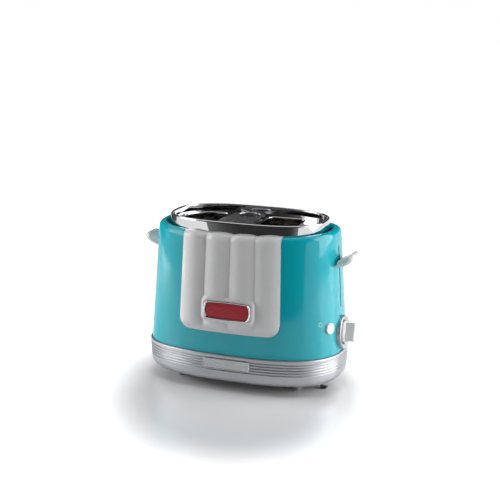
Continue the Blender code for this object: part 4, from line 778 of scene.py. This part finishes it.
def makePanel():
    over = shoulderSection(panel["shoulderRows"])
    rows = panel["rows"]
    total = rows + len(over)
    bm = gridOf(panel["columns"], total)
    for vert in bm.verts:
        share = vert.co.x
        row = round((vert.co.y + 1) / 2 * total)
        if row <= rows:
            level = mix(panelBottomAt(share), shoulderLevel, row / rows)
            inset, lean = 0, 0
            x = share * panelHalf(level)
            relief = panelRelief(share, x, level)
        else:
            inset, level, lean = over[row - rows - 1]
            x = share * panelHalf(level)
            relief = 0
            if lean < math.radians(89):
                relief = panelRelief(share, x, shoulderLevel) * math.cos(lean) ** panel["headShare"]
        halfLength, halfWidth = shellHalf(level)
        y = planReach(x, halfLength - inset, halfWidth - inset) + relief * math.cos(lean)
        vert.co = (x, -y, level + saddle(x, level) + relief * math.sin(lean))
    made = settle(facedFront(bm), "flutedPanel", whiteGloss, "front_panel", sharp=60)
    thicken(made, panel["thickness"])
    easeEdges(made, panel["edge"], 3, 62)


makeShell()
makePanel()
print("shell and panel made")


# the grooved ring with what sits on it and under it
baseRing = {
    "half": (0.1246, 0.0774),
    "bottom": 0.0110,
    "top": 0.0469,
    "wall": 0.0025,
    "taper": 0.0012,
    "roundStart": 0.0235,
    "roundDepth": 0.0130,
    "roundPower": 2.4,
    "flange": 0.0175,
    "flangeThickness": 0.0020,
    "ledge": 0.0110,
    "ledgeThickness": 0.0025,
    "grooves": 5,
    "grooveTop": 0.0054,
    "groovePitch": 0.00345,
    "grooveHalf": 0.0010,
    "grooveDepth": 0.0009,
    "rowStep": 0.00025,
    "brow": [(0.0014, 0), (0.0008, 0.0001), (0.0003, 0.0004), (0.0001, 0.0008)],
    "browHeight": 0.0010,
}
tray = {"x": (-0.0715, 0.0475), "faceBottom": 0.0166, "faceHeight": 0.0092, "back": 0.09, "gap": 0.0005}


def ringInset(level):
    share = (baseRing["top"] - level) / (baseRing["top"] - baseRing["roundStart"])
    return baseRing["taper"] * share**2


def grooveDepth(level):
    for groove in range(baseRing["grooves"]):
        middle = baseRing["top"] - baseRing["grooveTop"] - groove * baseRing["groovePitch"]
        away = abs(level - middle) / baseRing["grooveHalf"]
        if away < 1:
            return baseRing["grooveDepth"] * (0.5 + 0.5 * math.cos(math.pi * away)) ** 0.8
    return 0


def ringRounding(depth, height, steps):
    made = []
    power = 2 / baseRing["roundPower"]
    for step in range(steps + 1):
        turn = math.radians(90) * step / steps
        inset = depth * (1 - math.cos(turn) ** power)
        made.append((inset, baseRing["roundStart"] - height * math.sin(turn) ** power))
    return made


def makeBaseRing():
    top, wall = baseRing["top"], baseRing["wall"]
    shelf = baseRing["bottom"] + baseRing["flangeThickness"]
    section = [(inset, top - drop) for inset, drop in baseRing["brow"]]
    wallTop = top - baseRing["browHeight"]
    rows = int((wallTop - baseRing["roundStart"]) / baseRing["rowStep"])
    for row in range(rows + 1):
        level = mix(wallTop, baseRing["roundStart"], row / rows)
        section.append((ringInset(level) + grooveDepth(level), level))
    outer = ringRounding(baseRing["roundDepth"], baseRing["roundStart"] - baseRing["bottom"], 18)
    inner = ringRounding(baseRing["roundDepth"] - wall, baseRing["roundStart"] - shelf, 8)
    section += [(baseRing["taper"] + inset, level) for inset, level in outer[1:]]
    section += [(baseRing["flange"], baseRing["bottom"]), (baseRing["flange"], shelf)]
    section += [(baseRing["taper"] + wall + inset, level) for inset, level in reversed(inner)]
    ledgeBottom = top - baseRing["ledgeThickness"]
    section += [(wall, ledgeBottom), (baseRing["ledge"], ledgeBottom), (baseRing["ledge"], top)]
    ring = carryBody(baseRing["half"], section)
    gap = tray["gap"]
    window = blockOf(
        (tray["x"][0] - gap, 0, tray["faceBottom"] - gap),
        (tray["x"][1] + gap, tray["back"], tray["faceBottom"] + tray["faceHeight"] + gap),
    )
    settle(carve(ring, [window]), "groovedRing", silverPaint, "base_ring")


plate = {
    "centre": 0.0355,
    "half": 0.0305,
    "cornerHalf": 0.0285,
    "halfHeight": 0.0070,
    "thickness": 0.0014,
    "border": 0.0011,
    "sunk": 0.0004,
    "sunkRamp": 0.0005,
    "edge": 0.0006,
    "edgeWidth": 0.0007,
    "gap": 0.0003,
    "wall": 0.0007,
    "columns": 120,
    "rows": 40,
}


def makeNameplate():
    # a bare plate with a raised border, bent with the ring that it lies on
    bm = gridOf(plate["columns"], plate["rows"])
    for vert in bm.verts:
        side, row = vert.co.x, vert.co.y
        half = mix(plate["half"], plate["cornerHalf"], row * row)
        x, level = side * half, plate["centre"] + row * plate["halfHeight"]
        border = min((1 - abs(side)) * half, (1 - abs(row)) * plate["halfHeight"])
        sunk = plate["sunk"] * smooth((border - plate["border"]) / plate["sunkRamp"])
        edge = plate["edge"] * (1 - min(border / plate["edgeWidth"], 1)) ** 2
        out = plate["gap"] + plate["thickness"] - ringInset(level) - sunk - edge
        vert.co = (x, -planReach(x, baseRing["half"][0] + out, baseRing["half"][1] + out), level)
    made = settle(facedFront(bm), "barePlate", platePaint, "nameplate", sharp=50)
    thicken(made, plate["wall"])

foot = {
    "x": 0.0770,
    "y": 0.0345,
    "radius": 0.0056,
    "sole": 0.0050,
    "top": 0.0130,
    "heel": 0.0009,
    "rise": 0.0002,
    "edge": 0.0008,
}


def makeFeet():
    sole, top = foot["sole"], foot["top"]
    flank = [(sole - foot["heel"], 0), (sole, foot["rise"]), (foot["radius"], top), (0, top)]
    profile = [(0, 0)] + eased(flank, foot["edge"], 4, closed=False)
    for side, x in (("left", -foot["x"]), ("right", foot["x"])):
        for end, y in (("front", -foot["y"]), ("rear", foot["y"])):
            made = spun(profile, 40, Matrix.Translation((x, y, 0)))
            name = f"{end}{side.capitalize()}Foot"
            settle(made, name, greyRubber, f"foot_{end}_{side}")


hook = {
    "x": 0.1038,
    "y": 0.0186,
    "half": 0.0035,
    "thickness": 0.0022,
    "reach": 0.0080,
    "clearance": 0.0010,
    "top": 0.0130,
    "bend": 0.0009,
    "edge": 0.0004,
}


def makeHooks():
    thick, low, top = hook["thickness"], hook["clearance"], hook["top"]
    tip = hook["reach"] - thick
    corners = [(0, top), (-thick, top), (-thick, low), (tip, low), (tip, low + thick), (0, low + thick)]
    outline = eased(corners, hook["bend"], 4)
    for side, turn in (("right", 0), ("left", 180)):
        made = slabOf(outline, -hook["half"], hook["half"], hook["edge"])
        stand = Matrix.Translation((hook["x"], -hook["y"], 0)) @ turned(90, "X")
        moved(made, turned(turn, "Z") @ stand)
        settle(made, side + "Hook", blackPlastic, "cord_hook_" + side)


makeBaseRing()
makeNameplate()
makeFeet()
makeHooks()
print("base made")


# the badge on its seat
def frontSeat(level, proud):
    lean = math.atan2(shell["baseHalf"][1] - shell["topHalf"][1], shell["top"] - shell["floor"])
    reach = shellHalf(level)[1] + proud / math.cos(lean)
    return Matrix.Translation((0, -reach, level)) @ Matrix.Rotation(-lean, 4, "X") @ turned(90, "X")


def badgeHalves(inset):
    return (badge[name] - inset for name in ("half", "cornerHalf", "halfHeight"))


def barrel(inset, steps=14):
    # bowed ends, a slightly crowned top and bottom, and small round corners
    half, corner, height = badgeHalves(inset)
    right = []
    for step in range(steps + 1):
        share = 2 * step / steps - 1
        right.append((mix(half, corner, share * share), share * height))
    top = []
    for step in range(1, steps * 2):
        share = 1 - step / steps
        top.append((share * corner, height + badge["crown"] * (1 - share * share)))
    outline = right + top + [(-x, y) for x, y in reversed(right)] + [(-x, -y) for x, y in top]
    radius = max(badge["corner"] - inset, badge["leastCorner"])
    softened = []
    for x, y in outline:
        overX, overY = abs(x) - (corner - radius), abs(y) - (height - radius)
        if overX > 0 and overY > 0:
            length = math.hypot(overX, overY)
            if length > radius:
                x = math.copysign(corner - radius + overX * radius / length, x)
                y = math.copysign(height - radius + overY * radius / length, y)
        softened.append((x, y))
    return softened


def carryRings(outlineAt, section):
    # a section of (inset, level) carried round an outline that is drawn anew for each inset
    rings = {inset: outlineAt(inset) for inset, _ in section}
    steps = len(rings[section[0][0]])
    return carry(lambda index, inset, level: (*rings[inset][index], level), section, steps)


def makeBadge():
    seat = frontSeat(badge["centre"], badge["bossProud"] + panel["proud"] + badge["gap"])
    section = [(inset * badge["rim"], level * badge["thickness"]) for inset, level in badge["section"]]
    bm = carryRings(barrel, section)
    settle(moved(bm, seat), "badgeFrame", chromePlate, "badge_frame")

    half, corner, height = badgeHalves(badge["rim"] + badge["gap"])
    bm = gridOf(64, badge["ribs"] * 8)
    for vert in bm.verts:
        side, row = vert.co.x, vert.co.y
        x = side * mix(half, corner, row * row)
        y = row * (height + badge["crown"] * (1 - side * side))
        rib = 0.5 - 0.5 * math.cos(math.tau * (row + 1) / 2 * badge["ribs"])
        dome = badge["dome"] * (1 - abs(side) ** 4) * (1 - row * row)
        vert.co = (x, y, badge["insertHeight"] + dome + badge["ribHeight"] * rib)
    rims = [edge for edge in bm.edges if edge.is_boundary]
    grown = bmesh.ops.extrude_edge_only(bm, edges=rims)["geom"]
    for vert in vertsIn(grown):
        vert.co.z = 0.0
    bmesh.ops.contextual_create(bm, geom=[edge for edge in bm.edges if edge.is_boundary])
    settle(moved(facedOut(bm), seat), "redInsert", redEnamel, "badge_insert", sharp=50)


makeBadge()


# the chrome rim and the plate inside it
rim = {
    "half": (0.0988, 0.0570),
    "foot": 0.1840,
    "top": 0.2061,
    "width": 0.0040,
    "wall": 0.0020,
    "ledge": 0.0056,
    "ledgeThickness": 0.0015,
}
deck = {
    "top": 0.1962,
    "thickness": 0.0012,
    "roll": 0.0016,
    "flange": 0.0090,
    "wall": 0.0010,
    "gap": 0.0003,
}


def makeRim():
    crown = rim["width"] / 2
    ledgeTop = deck["top"] - deck["thickness"] - deck["gap"]
    under = ledgeTop - rim["ledgeThickness"]
    section = [(0, rim["foot"])]
    section += arcPoints((crown, rim["top"] - crown), crown, 180, 0, 16)
    section += [(rim["width"], ledgeTop), (rim["ledge"], ledgeTop)]
    section += [(rim["ledge"], under), (rim["wall"], under), (rim["wall"], rim["foot"])]
    settle(carryBody(rim["half"], section), "chromeRim", chromePlate, "chrome_rim")


slots = {
    "half": 0.0400,
    "corner": 0.0080,
    "margin": 0.0050,
    "leftEnd": -0.0410,
    "right": (0.0125, 0.0610),
    "basketX": -0.0140,
    "basketHalf": (0.0190, 0.0492),
    "basketCorner": 0.0160,
}


def leftOpening(grown, steps=30):
    half, radius = slots["half"] + grown, slots["corner"] + grown
    margin, right = rim["width"] + slots["margin"] - grown, slots["leftEnd"] + grown
    outline = arcPoints((right - radius, radius - half), radius, -90, 0, 8)
    outline += arcPoints((right - radius, half - radius), radius, 0, 90, 8)
    for step in range(steps + 1):
        y = half * math.cos(math.pi * step / steps)
        # planReach with the axes changed over gives the reach in x
        outline.append((-planReach(y, rim["half"][1] - margin, rim["half"][0] - margin), y))
    return outline


def rightOpening(grown):
    left, right = slots["right"]
    half, radius = slots["half"] + grown, slots["corner"] + grown
    return roundedRectangle((right - left) / 2 + grown, half, radius, 8, ((left + right) / 2, 0))


def basketOpening(grown):
    halfLength, halfWidth = (half + grown for half in slots["basketHalf"])
    radius = slots["basketCorner"] + grown
    return roundedRectangle(halfLength, halfWidth, radius, 12, (slots["basketX"], 0))


def makeDeck():
    # the polished plate, with the edge of each opening rolled down
    top, thick, roll = deck["top"], deck["thickness"], deck["roll"]
    halfLength, halfWidth = (half - rim["width"] - deck["gap"] for half in rim["half"])
    steps = plan["steps"]
    outer = [planPoint(halfLength, halfWidth, math.tau * step / steps) for step in range(steps)]
    bm = bmesh.new()
    for outline in [outer] + [opening(roll) for opening in (leftOpening, rightOpening, basketOpening)]:
        ring = bmesh.ops.create_circle(bm, segments=len(outline), radius=1)["verts"]
        for vert, (x, y) in zip(ring, outline):
            vert.co = (x, y, top)
    bmesh.ops.triangle_fill(bm, use_beauty=True, edges=bm.edges[:], normal=(0, 0, 1))
    grown = bmesh.ops.extrude_face_region(bm, geom=bm.faces[:])["geom"]
    bmesh.ops.translate(bm, verts=vertsIn(grown), vec=(0, 0, -thick))
    facedOut(bm)
    for opening in (leftOpening, rightOpening, basketOpening):
        turns = [math.radians(turn) for turn in range(0, 91, 10)]
        section = [(roll - roll * math.sin(turn), top - roll + roll * math.cos(turn)) for turn in turns]
        low, wall = top - deck["flange"], deck["wall"]
        section += [(0, low), (wall, low), (wall, top - roll), (roll, top - thick)]
        absorb(bm, carryRings(opening, section))
    settle(bm, "polishedDeck", mirrorSteel, "top_deck", sharp=30)


makeRim()
makeDeck()
print("rim and deck made")


# the lift-out basket with two wells
wells = {
    "y": 0.0340,
    "radius": 0.0138,
    "wall": 0.0008,
    "bottom": 0.0580,
    "window": 0.0045,
    "base": 0.0080,
    "head": 0.0160,
    "flange": 0.0010,
    "flangeOver": 0.0020,
    "flangeEdge": 0.0004,
    "windowReach": 0.005,
    "windowRound": 0.0012,
    "mouth": [(0, -0.0008), (0.0003, -0.0003), (0.0009, 0.0001), (0.0009, 0.01)],
    "slitHalf": 0.004,
    "slitReach": 0.0188,
    "slitTop": 0.134,
    "cutFrom": 0.05,
}


def makeBasket():
    bottom = deck["top"] + deck["gap"]
    top = bottom + wells["flange"]
    centre, radius, cutFrom = slots["basketX"], wells["radius"], wells["cutFrom"]
    outer, into = radius + wells["wall"], bottom + wells["flange"] / 2
    flange = slabOf(basketOpening(wells["flangeOver"]), bottom, top, wells["flangeEdge"], 3)
    pipe = [(0, wells["bottom"]), (outer, wells["bottom"]), (outer, into), (0, into)]
    mouth = [(radius + out, top + rise) for out, rise in wells["mouth"]]
    bore = [(0, cutFrom), (radius, cutFrom), *mouth, (0, mouth[-1][1])]
    pipes, bores, cuts = [], [], []
    for side in (-1, 1):
        y = side * wells["y"]
        seat = Matrix.Translation((centre, y, 0))
        pipes.append(spun(pipe, 56, seat))
        bores.append(spun(bore, 56, seat))
        # a slit to the middle lets the platform's arm into the well
        near, far = sorted((y, y - side * wells["slitReach"]))
        half = wells["slitHalf"]
        cuts.append(blockOf((centre - half, near, cutFrom), (centre + half, far, wells["slitTop"])))
        low = (0, -wells["window"], wells["bottom"] + wells["base"])
        high = (radius + wells["windowReach"], wells["window"], bottom - wells["head"])
        for turn in (180, 0, 90 * side):
            window = blockOf(low, high, wells["windowRound"], 3)
            cuts.append(moved(window, seat @ turned(turn, "Z")))
    made = carve(carve(flange, pipes, "UNION"), bores + cuts)
    settle(made, "sausageBasket", sheetSteel, "sausage_basket", "basket", sharp=30)


makeBasket()
print("basket made")


# the paddles of the lever and of the fixed handle
paddle = {
    "reach": 0.0200,
    "halfWidth": 0.0180,
    "halfThickness": 0.0042,
    "rise": 0.0080,
    "planRadius": 0.0090,
    "edgeRadius": 0.0045,
    "rootX": 0.1180,
    "handleLift": 0.0050,
    "handleTip": 0.1362,
    "handleRoot": 0.005,
    "leverGap": 0.0005,
    "leverEdge": 0.0006,
    "handleGap": 0.0003,
    "sections": 44,
}


def paddleShape(rootX, tipX, level, mirror):
    half, full = paddle["halfWidth"], paddle["halfThickness"]
    curl = [step / 12 for step in range(13)]

    def outline(side):
        y = side * half
        intoPlan = max(abs(y) - (half - paddle["planRadius"]), 0) / paddle["planRadius"]
        intoEdge = max(abs(y) - (half - paddle["edgeRadius"]), 0) / paddle["edgeRadius"]
        thickness = full * math.sqrt(max(1 - min(intoEdge, 1) ** 2, 0.0004))
        cutBack = paddle["planRadius"] * (1 - math.sqrt(max(1 - min(intoPlan, 1) ** 2, 0)))
        reach = tipX - rootX - cutBack - thickness
        rise = paddle["rise"] * (reach / (tipX - rootX - full)) ** 2
        top, under = [], []
        for share in curl:
            slope = math.atan2(2 * rise * share, reach)
            x, z = rootX + reach * share, level + rise * share * share
            top.append((x - thickness * math.sin(slope), z + thickness * math.cos(slope)))
            under.append((x + thickness * math.sin(slope), z - thickness * math.cos(slope)))
        end = math.degrees(math.atan2(2 * rise, reach))
        nose = arcPoints((rootX + reach, level + rise), thickness, end + 90, end - 90, 14)
        return [(mirror * x, y, z) for x, z in top[:-1] + nose + list(reversed(under[:-1]))]

    count = paddle["sections"]
    rings = [outline(math.sin(math.pi * (step / count - 0.5))) for step in range(count + 1)]
    stations, points = [(step,) for step in range(count + 1)], len(rings[0])
    return carry(lambda index, step: rings[step][index], stations, points, closed=False, capped=True)


def makePaddles():
    # the lever clears the wider shell at the foot of its travel
    low = moved(shellEnvelope(paddle["leverGap"]), Matrix.Translation((0, 0, lever["travelDown"])))
    shape = paddleShape(paddle["rootX"], paddle["rootX"] + paddle["reach"], lever["level"], 1)
    made = carve(shape, [low])
    made = settle(made, "leverPaddle", whiteGloss, "lift_lever", "carriage", sharp=50)
    easeEdges(made, paddle["leverEdge"], 3, 50)
    root = shellHalf(lever["level"])[0] - paddle["handleRoot"]
    shape = paddleShape(root, paddle["handleTip"], lever["level"] + paddle["handleLift"], -1)
    made = carve(shape, [shellEnvelope(paddle["handleGap"])])
    settle(made, "sidePaddle", whiteGloss, "side_handle", sharp=50)


makePaddles()


# the dial, the button and the nought beside it
bezel = {
    "radius": 0.0206,
    "inner": 0.0146,
    "proud": 0.0048,
    "depth": 0.0050,
    "slope": 0.0012,
    "drops": (0.0022, 0.0016, 0.0008),
    "back": 0.0024,
    "gap": 0.0003,
    "spigotGap": 0.0002,
    "edge": 0.0006,
    "recess": 0.02,
}
knob = {
    "flange": 0.0134,
    "base": 0.0016,
    "top": 0.0058,
    "crown": 0.0003,
    "flat": 0.004,
    "round": 0.0012,
    "grip": 0.0048,
    "gripBase": 0.0026,
    "gripRound": 0.0016,
    "reach": 0.0170,
    "narrow": (0.86, 0.95),
    "bow": 0.10,
    "turn": -30,
}


def makeDial():
    seat = dialSeat()
    inner, proud, radius, spigot = bezel["inner"], bezel["proud"], bezel["radius"], dial["spigot"]
    depth, back, slope = -bezel["depth"], -bezel["back"], bezel["slope"]
    wall, dish, brow = (proud - drop for drop in bezel["drops"])
    face = [(inner, wall), (inner + slope, dish), (radius - slope, proud), (radius, brow)]
    profile = [(spigot, depth), (inner, depth), *face, (radius, back), (spigot, back)]
    profile = eased(profile, bezel["edge"], 4)
    ring = spun(profile + profile[:1], 96, seat)
    recess = plugOf(spigot + bezel["spigotGap"], bezel["recess"], 64, seat)
    made = carve(ring, [carve(shellEnvelope(bezel["gap"]), [recess])])
    settle(made, "dialBezel", silverPaint, "dial_bezel")

    base, top, flange, crown = knob["base"], knob["top"], knob["flange"], knob["top"] + knob["crown"]
    skirt = [(knob["flat"], base), (flange, base), (flange, top), (knob["flat"], crown)]
    skirt = [(0, base), *eased(skirt, knob["round"], 5, closed=False), (0, crown)]
    half, reach, face = knob["grip"], flange - knob["round"], knob["reach"]
    grip = blockOf((-half, -reach, knob["gripBase"]), (half, reach, face), knob["gripRound"], 4)
    for vert in grip.verts:
        # the grip narrows a little towards its face, and its ends are bowed
        share = (vert.co.z - base) / (face - base)
        thin, short = (mix(1.0, least, share) for least in knob["narrow"])
        vert.co.x *= thin
        vert.co.y *= short * (1 - knob["bow"] * (vert.co.x / half) ** 2)
    made = moved(carve(spun(skirt, 96), [grip], "UNION"), seat @ turned(knob["turn"], "Z"))
    settle(made, "timerKnob", whiteGloss, "timer_dial", "dial", sharp=40)


def makeButton():
    radius, depth = button["radius"], button["depth"]
    made = spun([*button["face"], (radius, -depth), (0, -depth)], 64, buttonSeat())
    settle(made, "stopButton", whiteGloss, "stop_button", "button", sharp=50)


zeroMark = {
    "y": -0.0446,
    "level": 0.0876,
    "halfWidth": 0.0019,
    "halfHeight": 0.0024,
    "corner": 0.0011,
    "line": 0.00045,
    "proud": 0.00006,
    "base": 0.00002,
}


def makeZeroMark():
    # the printed nought for off, a thin line laid on the shell beside the button
    ring = roundedRectangle(zeroMark["halfWidth"], zeroMark["halfHeight"], zeroMark["corner"], 6)
    thin = 1 - zeroMark["line"] / zeroMark["halfWidth"]
    low = 1 - zeroMark["line"] / zeroMark["halfHeight"]

    def spot(index, inside, proud):
        across, rise = ring[index]
        if inside:
            across, rise = across * thin, rise * low
        y, level = zeroMark["y"] + across, zeroMark["level"] + rise
        x = endPlace(y, level) + proud
        return x, y - proud, level + saddle(x, level)

    proud, base = zeroMark["proud"], zeroMark["base"]
    section = [(False, proud), (True, proud), (True, base), (False, base)]
    settle(carry(spot, section, len(ring)), "zeroMark", markPaint)


makeDial()
makeButton()
makeZeroMark()
print("controls made")


# the springs on the carriage's rods
spring = {"radius": 0.0036, "wire": 0.0005, "turns": 6, "points": 24}


def makeSprings():
    # round wire wound up each rod, its foot on the housing and its head on the carriage
    for end in ("front", "rear"):
        name = f"return_spring_{end}"
        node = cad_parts[name]
        corners = [node.matrix_world @ Vector(corner) for corner in node.bound_box]
        spans = [(min(values), max(values)) for values in zip(*corners)]
        x, y = (sum(span) / 2 for span in spans[:2])
        low, high = spans[2]
        count, reach, wire = spring["turns"] * spring["points"], spring["radius"], spring["wire"]
        line = []
        for step in range(count + 1):
            turn = math.tau * step / spring["points"]
            rise = mix(low + wire, high - wire, step / count)
            line.append((x + reach * math.cos(turn), y + reach * math.sin(turn), rise))
        made = looseObject(rodOf(line, wire, 8), f"{end}Spring")
        made.data.shade_smooth()
        made.data.materials.append(sheetSteel)
        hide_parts(name)
        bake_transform(made)


makeSprings()


# finishes of the CAD nodes that stay, by the start of their names
finishes = {
    "base_pan top_collar timer_unit stop_switch": blackPlastic,
    "cord_gland": greyRubber,
    "chassis_plate chamber_wrap control_bulkhead crumb_tray": sheetSteel,
    "carriage_frame bun_platform basket_platform latch_keeper": sheetSteel,
    "guide_rod magnet_core dial_shaft bun_guard": sheetSteel,
    "heater": micaBoard,
    "magnet_coil": copperWire,
    "control_board": boardGreen,
}
for starts, finish in finishes.items():
    for name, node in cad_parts.items():
        if name.startswith(tuple(starts.split())):
            for slot in node.material_slots:
                slot.material = finish


# the room
room = {
    "floorSize": 6.0,
    "floorTone": (0.78, 0.78, 0.79),
    "floorGloss": 0.17,
    "glowCentre": (0.012, -0.075),
    "glowTurn": 20,
    "glowHalf": (0.138, 0.20),
    "glowFrom": 0.70,
    "glowTo": 1.5,
    "glowInMetal": 0.45,
    "fill": 0.05,
    "fillTone": (0.97, 0.98, 1.0),
    "aim": (0, 0, 0.13),
}


def makeFloor():
    floor = looseObject(gridOf(1, 1, room["floorSize"]), "floor")
    material, tree, shader = startMaterial("paleFloor")
    # the floor keeps its shadow near the object and runs out to plain white
    inputs = {
        "Vector": ownPlace(tree),
        "Location": (*room["glowCentre"], 0),
        "Rotation": (0, 0, math.radians(room["glowTurn"])),
        "Scale": (*room["glowHalf"], 1),
    }
    laid = addNode(tree, "ShaderNodeMapping", inputs, vector_type="TEXTURE").outputs["Vector"]
    away = addNode(tree, "ShaderNodeVectorMath", {0: laid}, operation="LENGTH").outputs["Value"]
    spread = spreadOver(tree, away, room["glowFrom"], room["glowTo"])
    rays = addNode(tree, "ShaderNodeLightPath").outputs
    inMetal = mathsOf(tree, "MULTIPLY", rays["Is Glossy Ray"], room["glowInMetal"])
    seen = mathsOf(tree, "ADD", inMetal, rays["Is Camera Ray"])
    inputs = {
        "Base Color": (*room["floorTone"], 1),
        "Roughness": room["floorGloss"],
        "Emission Color": (1, 1, 1, 1),
        "Emission Strength": mathsOf(tree, "MULTIPLY", spread, seen),
    }
    feed(tree, shader, inputs)
    floor.data.materials.append(material)


def makeWorld():
    world = bpy.data.worlds.new("studio")
    bpy.context.scene.world = world
    world.use_nodes = True
    tree = world.node_tree
    tree.nodes.clear()
    rays = addNode(tree, "ShaderNodeLightPath").outputs
    seen = mathsOf(tree, "MAXIMUM", rays["Is Camera Ray"], rays["Is Glossy Ray"])
    seen = mathsOf(tree, "MAXIMUM", seen, rays["Is Transmission Ray"])
    fill = {"Color": (*room["fillTone"], 1), "Strength": room["fill"]}
    light = addNode(tree, "ShaderNodeBackground", fill).outputs[0]
    backdrop = addNode(tree, "ShaderNodeBackground", {"Color": (1, 1, 1, 1), "Strength": 1.0}).outputs[0]
    both = addNode(tree, "ShaderNodeMixShader", {0: seen, 1: light, 2: backdrop})
    addNode(tree, "ShaderNodeOutputWorld", {0: both.outputs[0]})


# azimuth from the front towards the right, elevation, distance, width and height, strength
lamps = {
    "leftKey": (-80, 7, 1.05, (0.50, 0.50), 14.0),
    "rightKey": (80, 9, 1.05, (0.50, 0.50), 7.0),
    "rightBack": (115, 16, 1.05, (0.50, 0.50), 7.0),
    "overhead": (0, 84, 1.10, (0.50, 0.50), 6.0),
}
# cards that only reflections see; their last two values are the tones in the middle and at the sides
cards = {
    "front": (6, 34, 0.50, (1.00, 1.15), 0.01, 0.14),
    "behind": (172, 30, 1.30, (2.40, 0.95), 0.02, 0.30),
    "farLeft": (-118, 16, 1.00, (1.25, 0.85), 0.06, 0.10),
    "leftBox": (-61, 25, 0.95, (0.46, 0.90), 3.2, 3.2),
    "rightWindow": (106, 27, 0.95, (1.10, 1.18), 4.0, 4.0),
}


def aimed(azimuth, elevation, distance):
    turn, rise = math.radians(azimuth), math.radians(elevation)
    away = Vector((math.sin(turn) * math.cos(rise), -math.cos(turn) * math.cos(rise), math.sin(rise)))
    facing = (-away).to_track_quat("-Z", "Y").to_matrix().to_4x4()
    return Matrix.Translation(Vector(room["aim"]) + away * distance) @ facing


def makeLamps():
    for name, (azimuth, elevation, distance, size, strength) in lamps.items():
        data = bpy.data.lights.new(name, "AREA")
        data.shape = "RECTANGLE"
        data.size, data.size_y = size
        data.energy = strength * math.pi * size[0] * size[1]
        lamp = linked(bpy.data.objects.new(name, data))
        lamp.matrix_world = aimed(azimuth, elevation, distance)
        lamp.visible_camera = lamp.visible_glossy = False


def makeCards():
    for name, (azimuth, elevation, distance, size, middle, sides) in cards.items():
        card = looseObject(moved(gridOf(1, 1, 0.5), Matrix.Diagonal((*size, 1, 1))), name + "Card")
        card.matrix_world = aimed(azimuth, elevation, distance)
        material, tree, shader = startMaterial(name + "Card")
        place = ownPlace(tree)
        parts = addNode(tree, "ShaderNodeSeparateXYZ", {0: place})
        aside = mathsOf(tree, "ABSOLUTE", parts.outputs["X"])
        inputs = {
            "Base Color": (0.005, 0.005, 0.005, 1),
            "Roughness": 1,
            "Emission Color": (1, 1, 1, 1),
            "Emission Strength": spreadOver(tree, aside, size[0] * 0.25, size[0] * 0.50, middle, sides),
        }
        feed(tree, shader, inputs)
        card.data.materials.append(material)
        card.visible_camera = card.visible_diffuse = card.visible_shadow = False


makeFloor()
makeWorld()
makeLamps()
makeCards()
bpy.context.scene.view_settings.view_transform = "Standard"
print("room made")
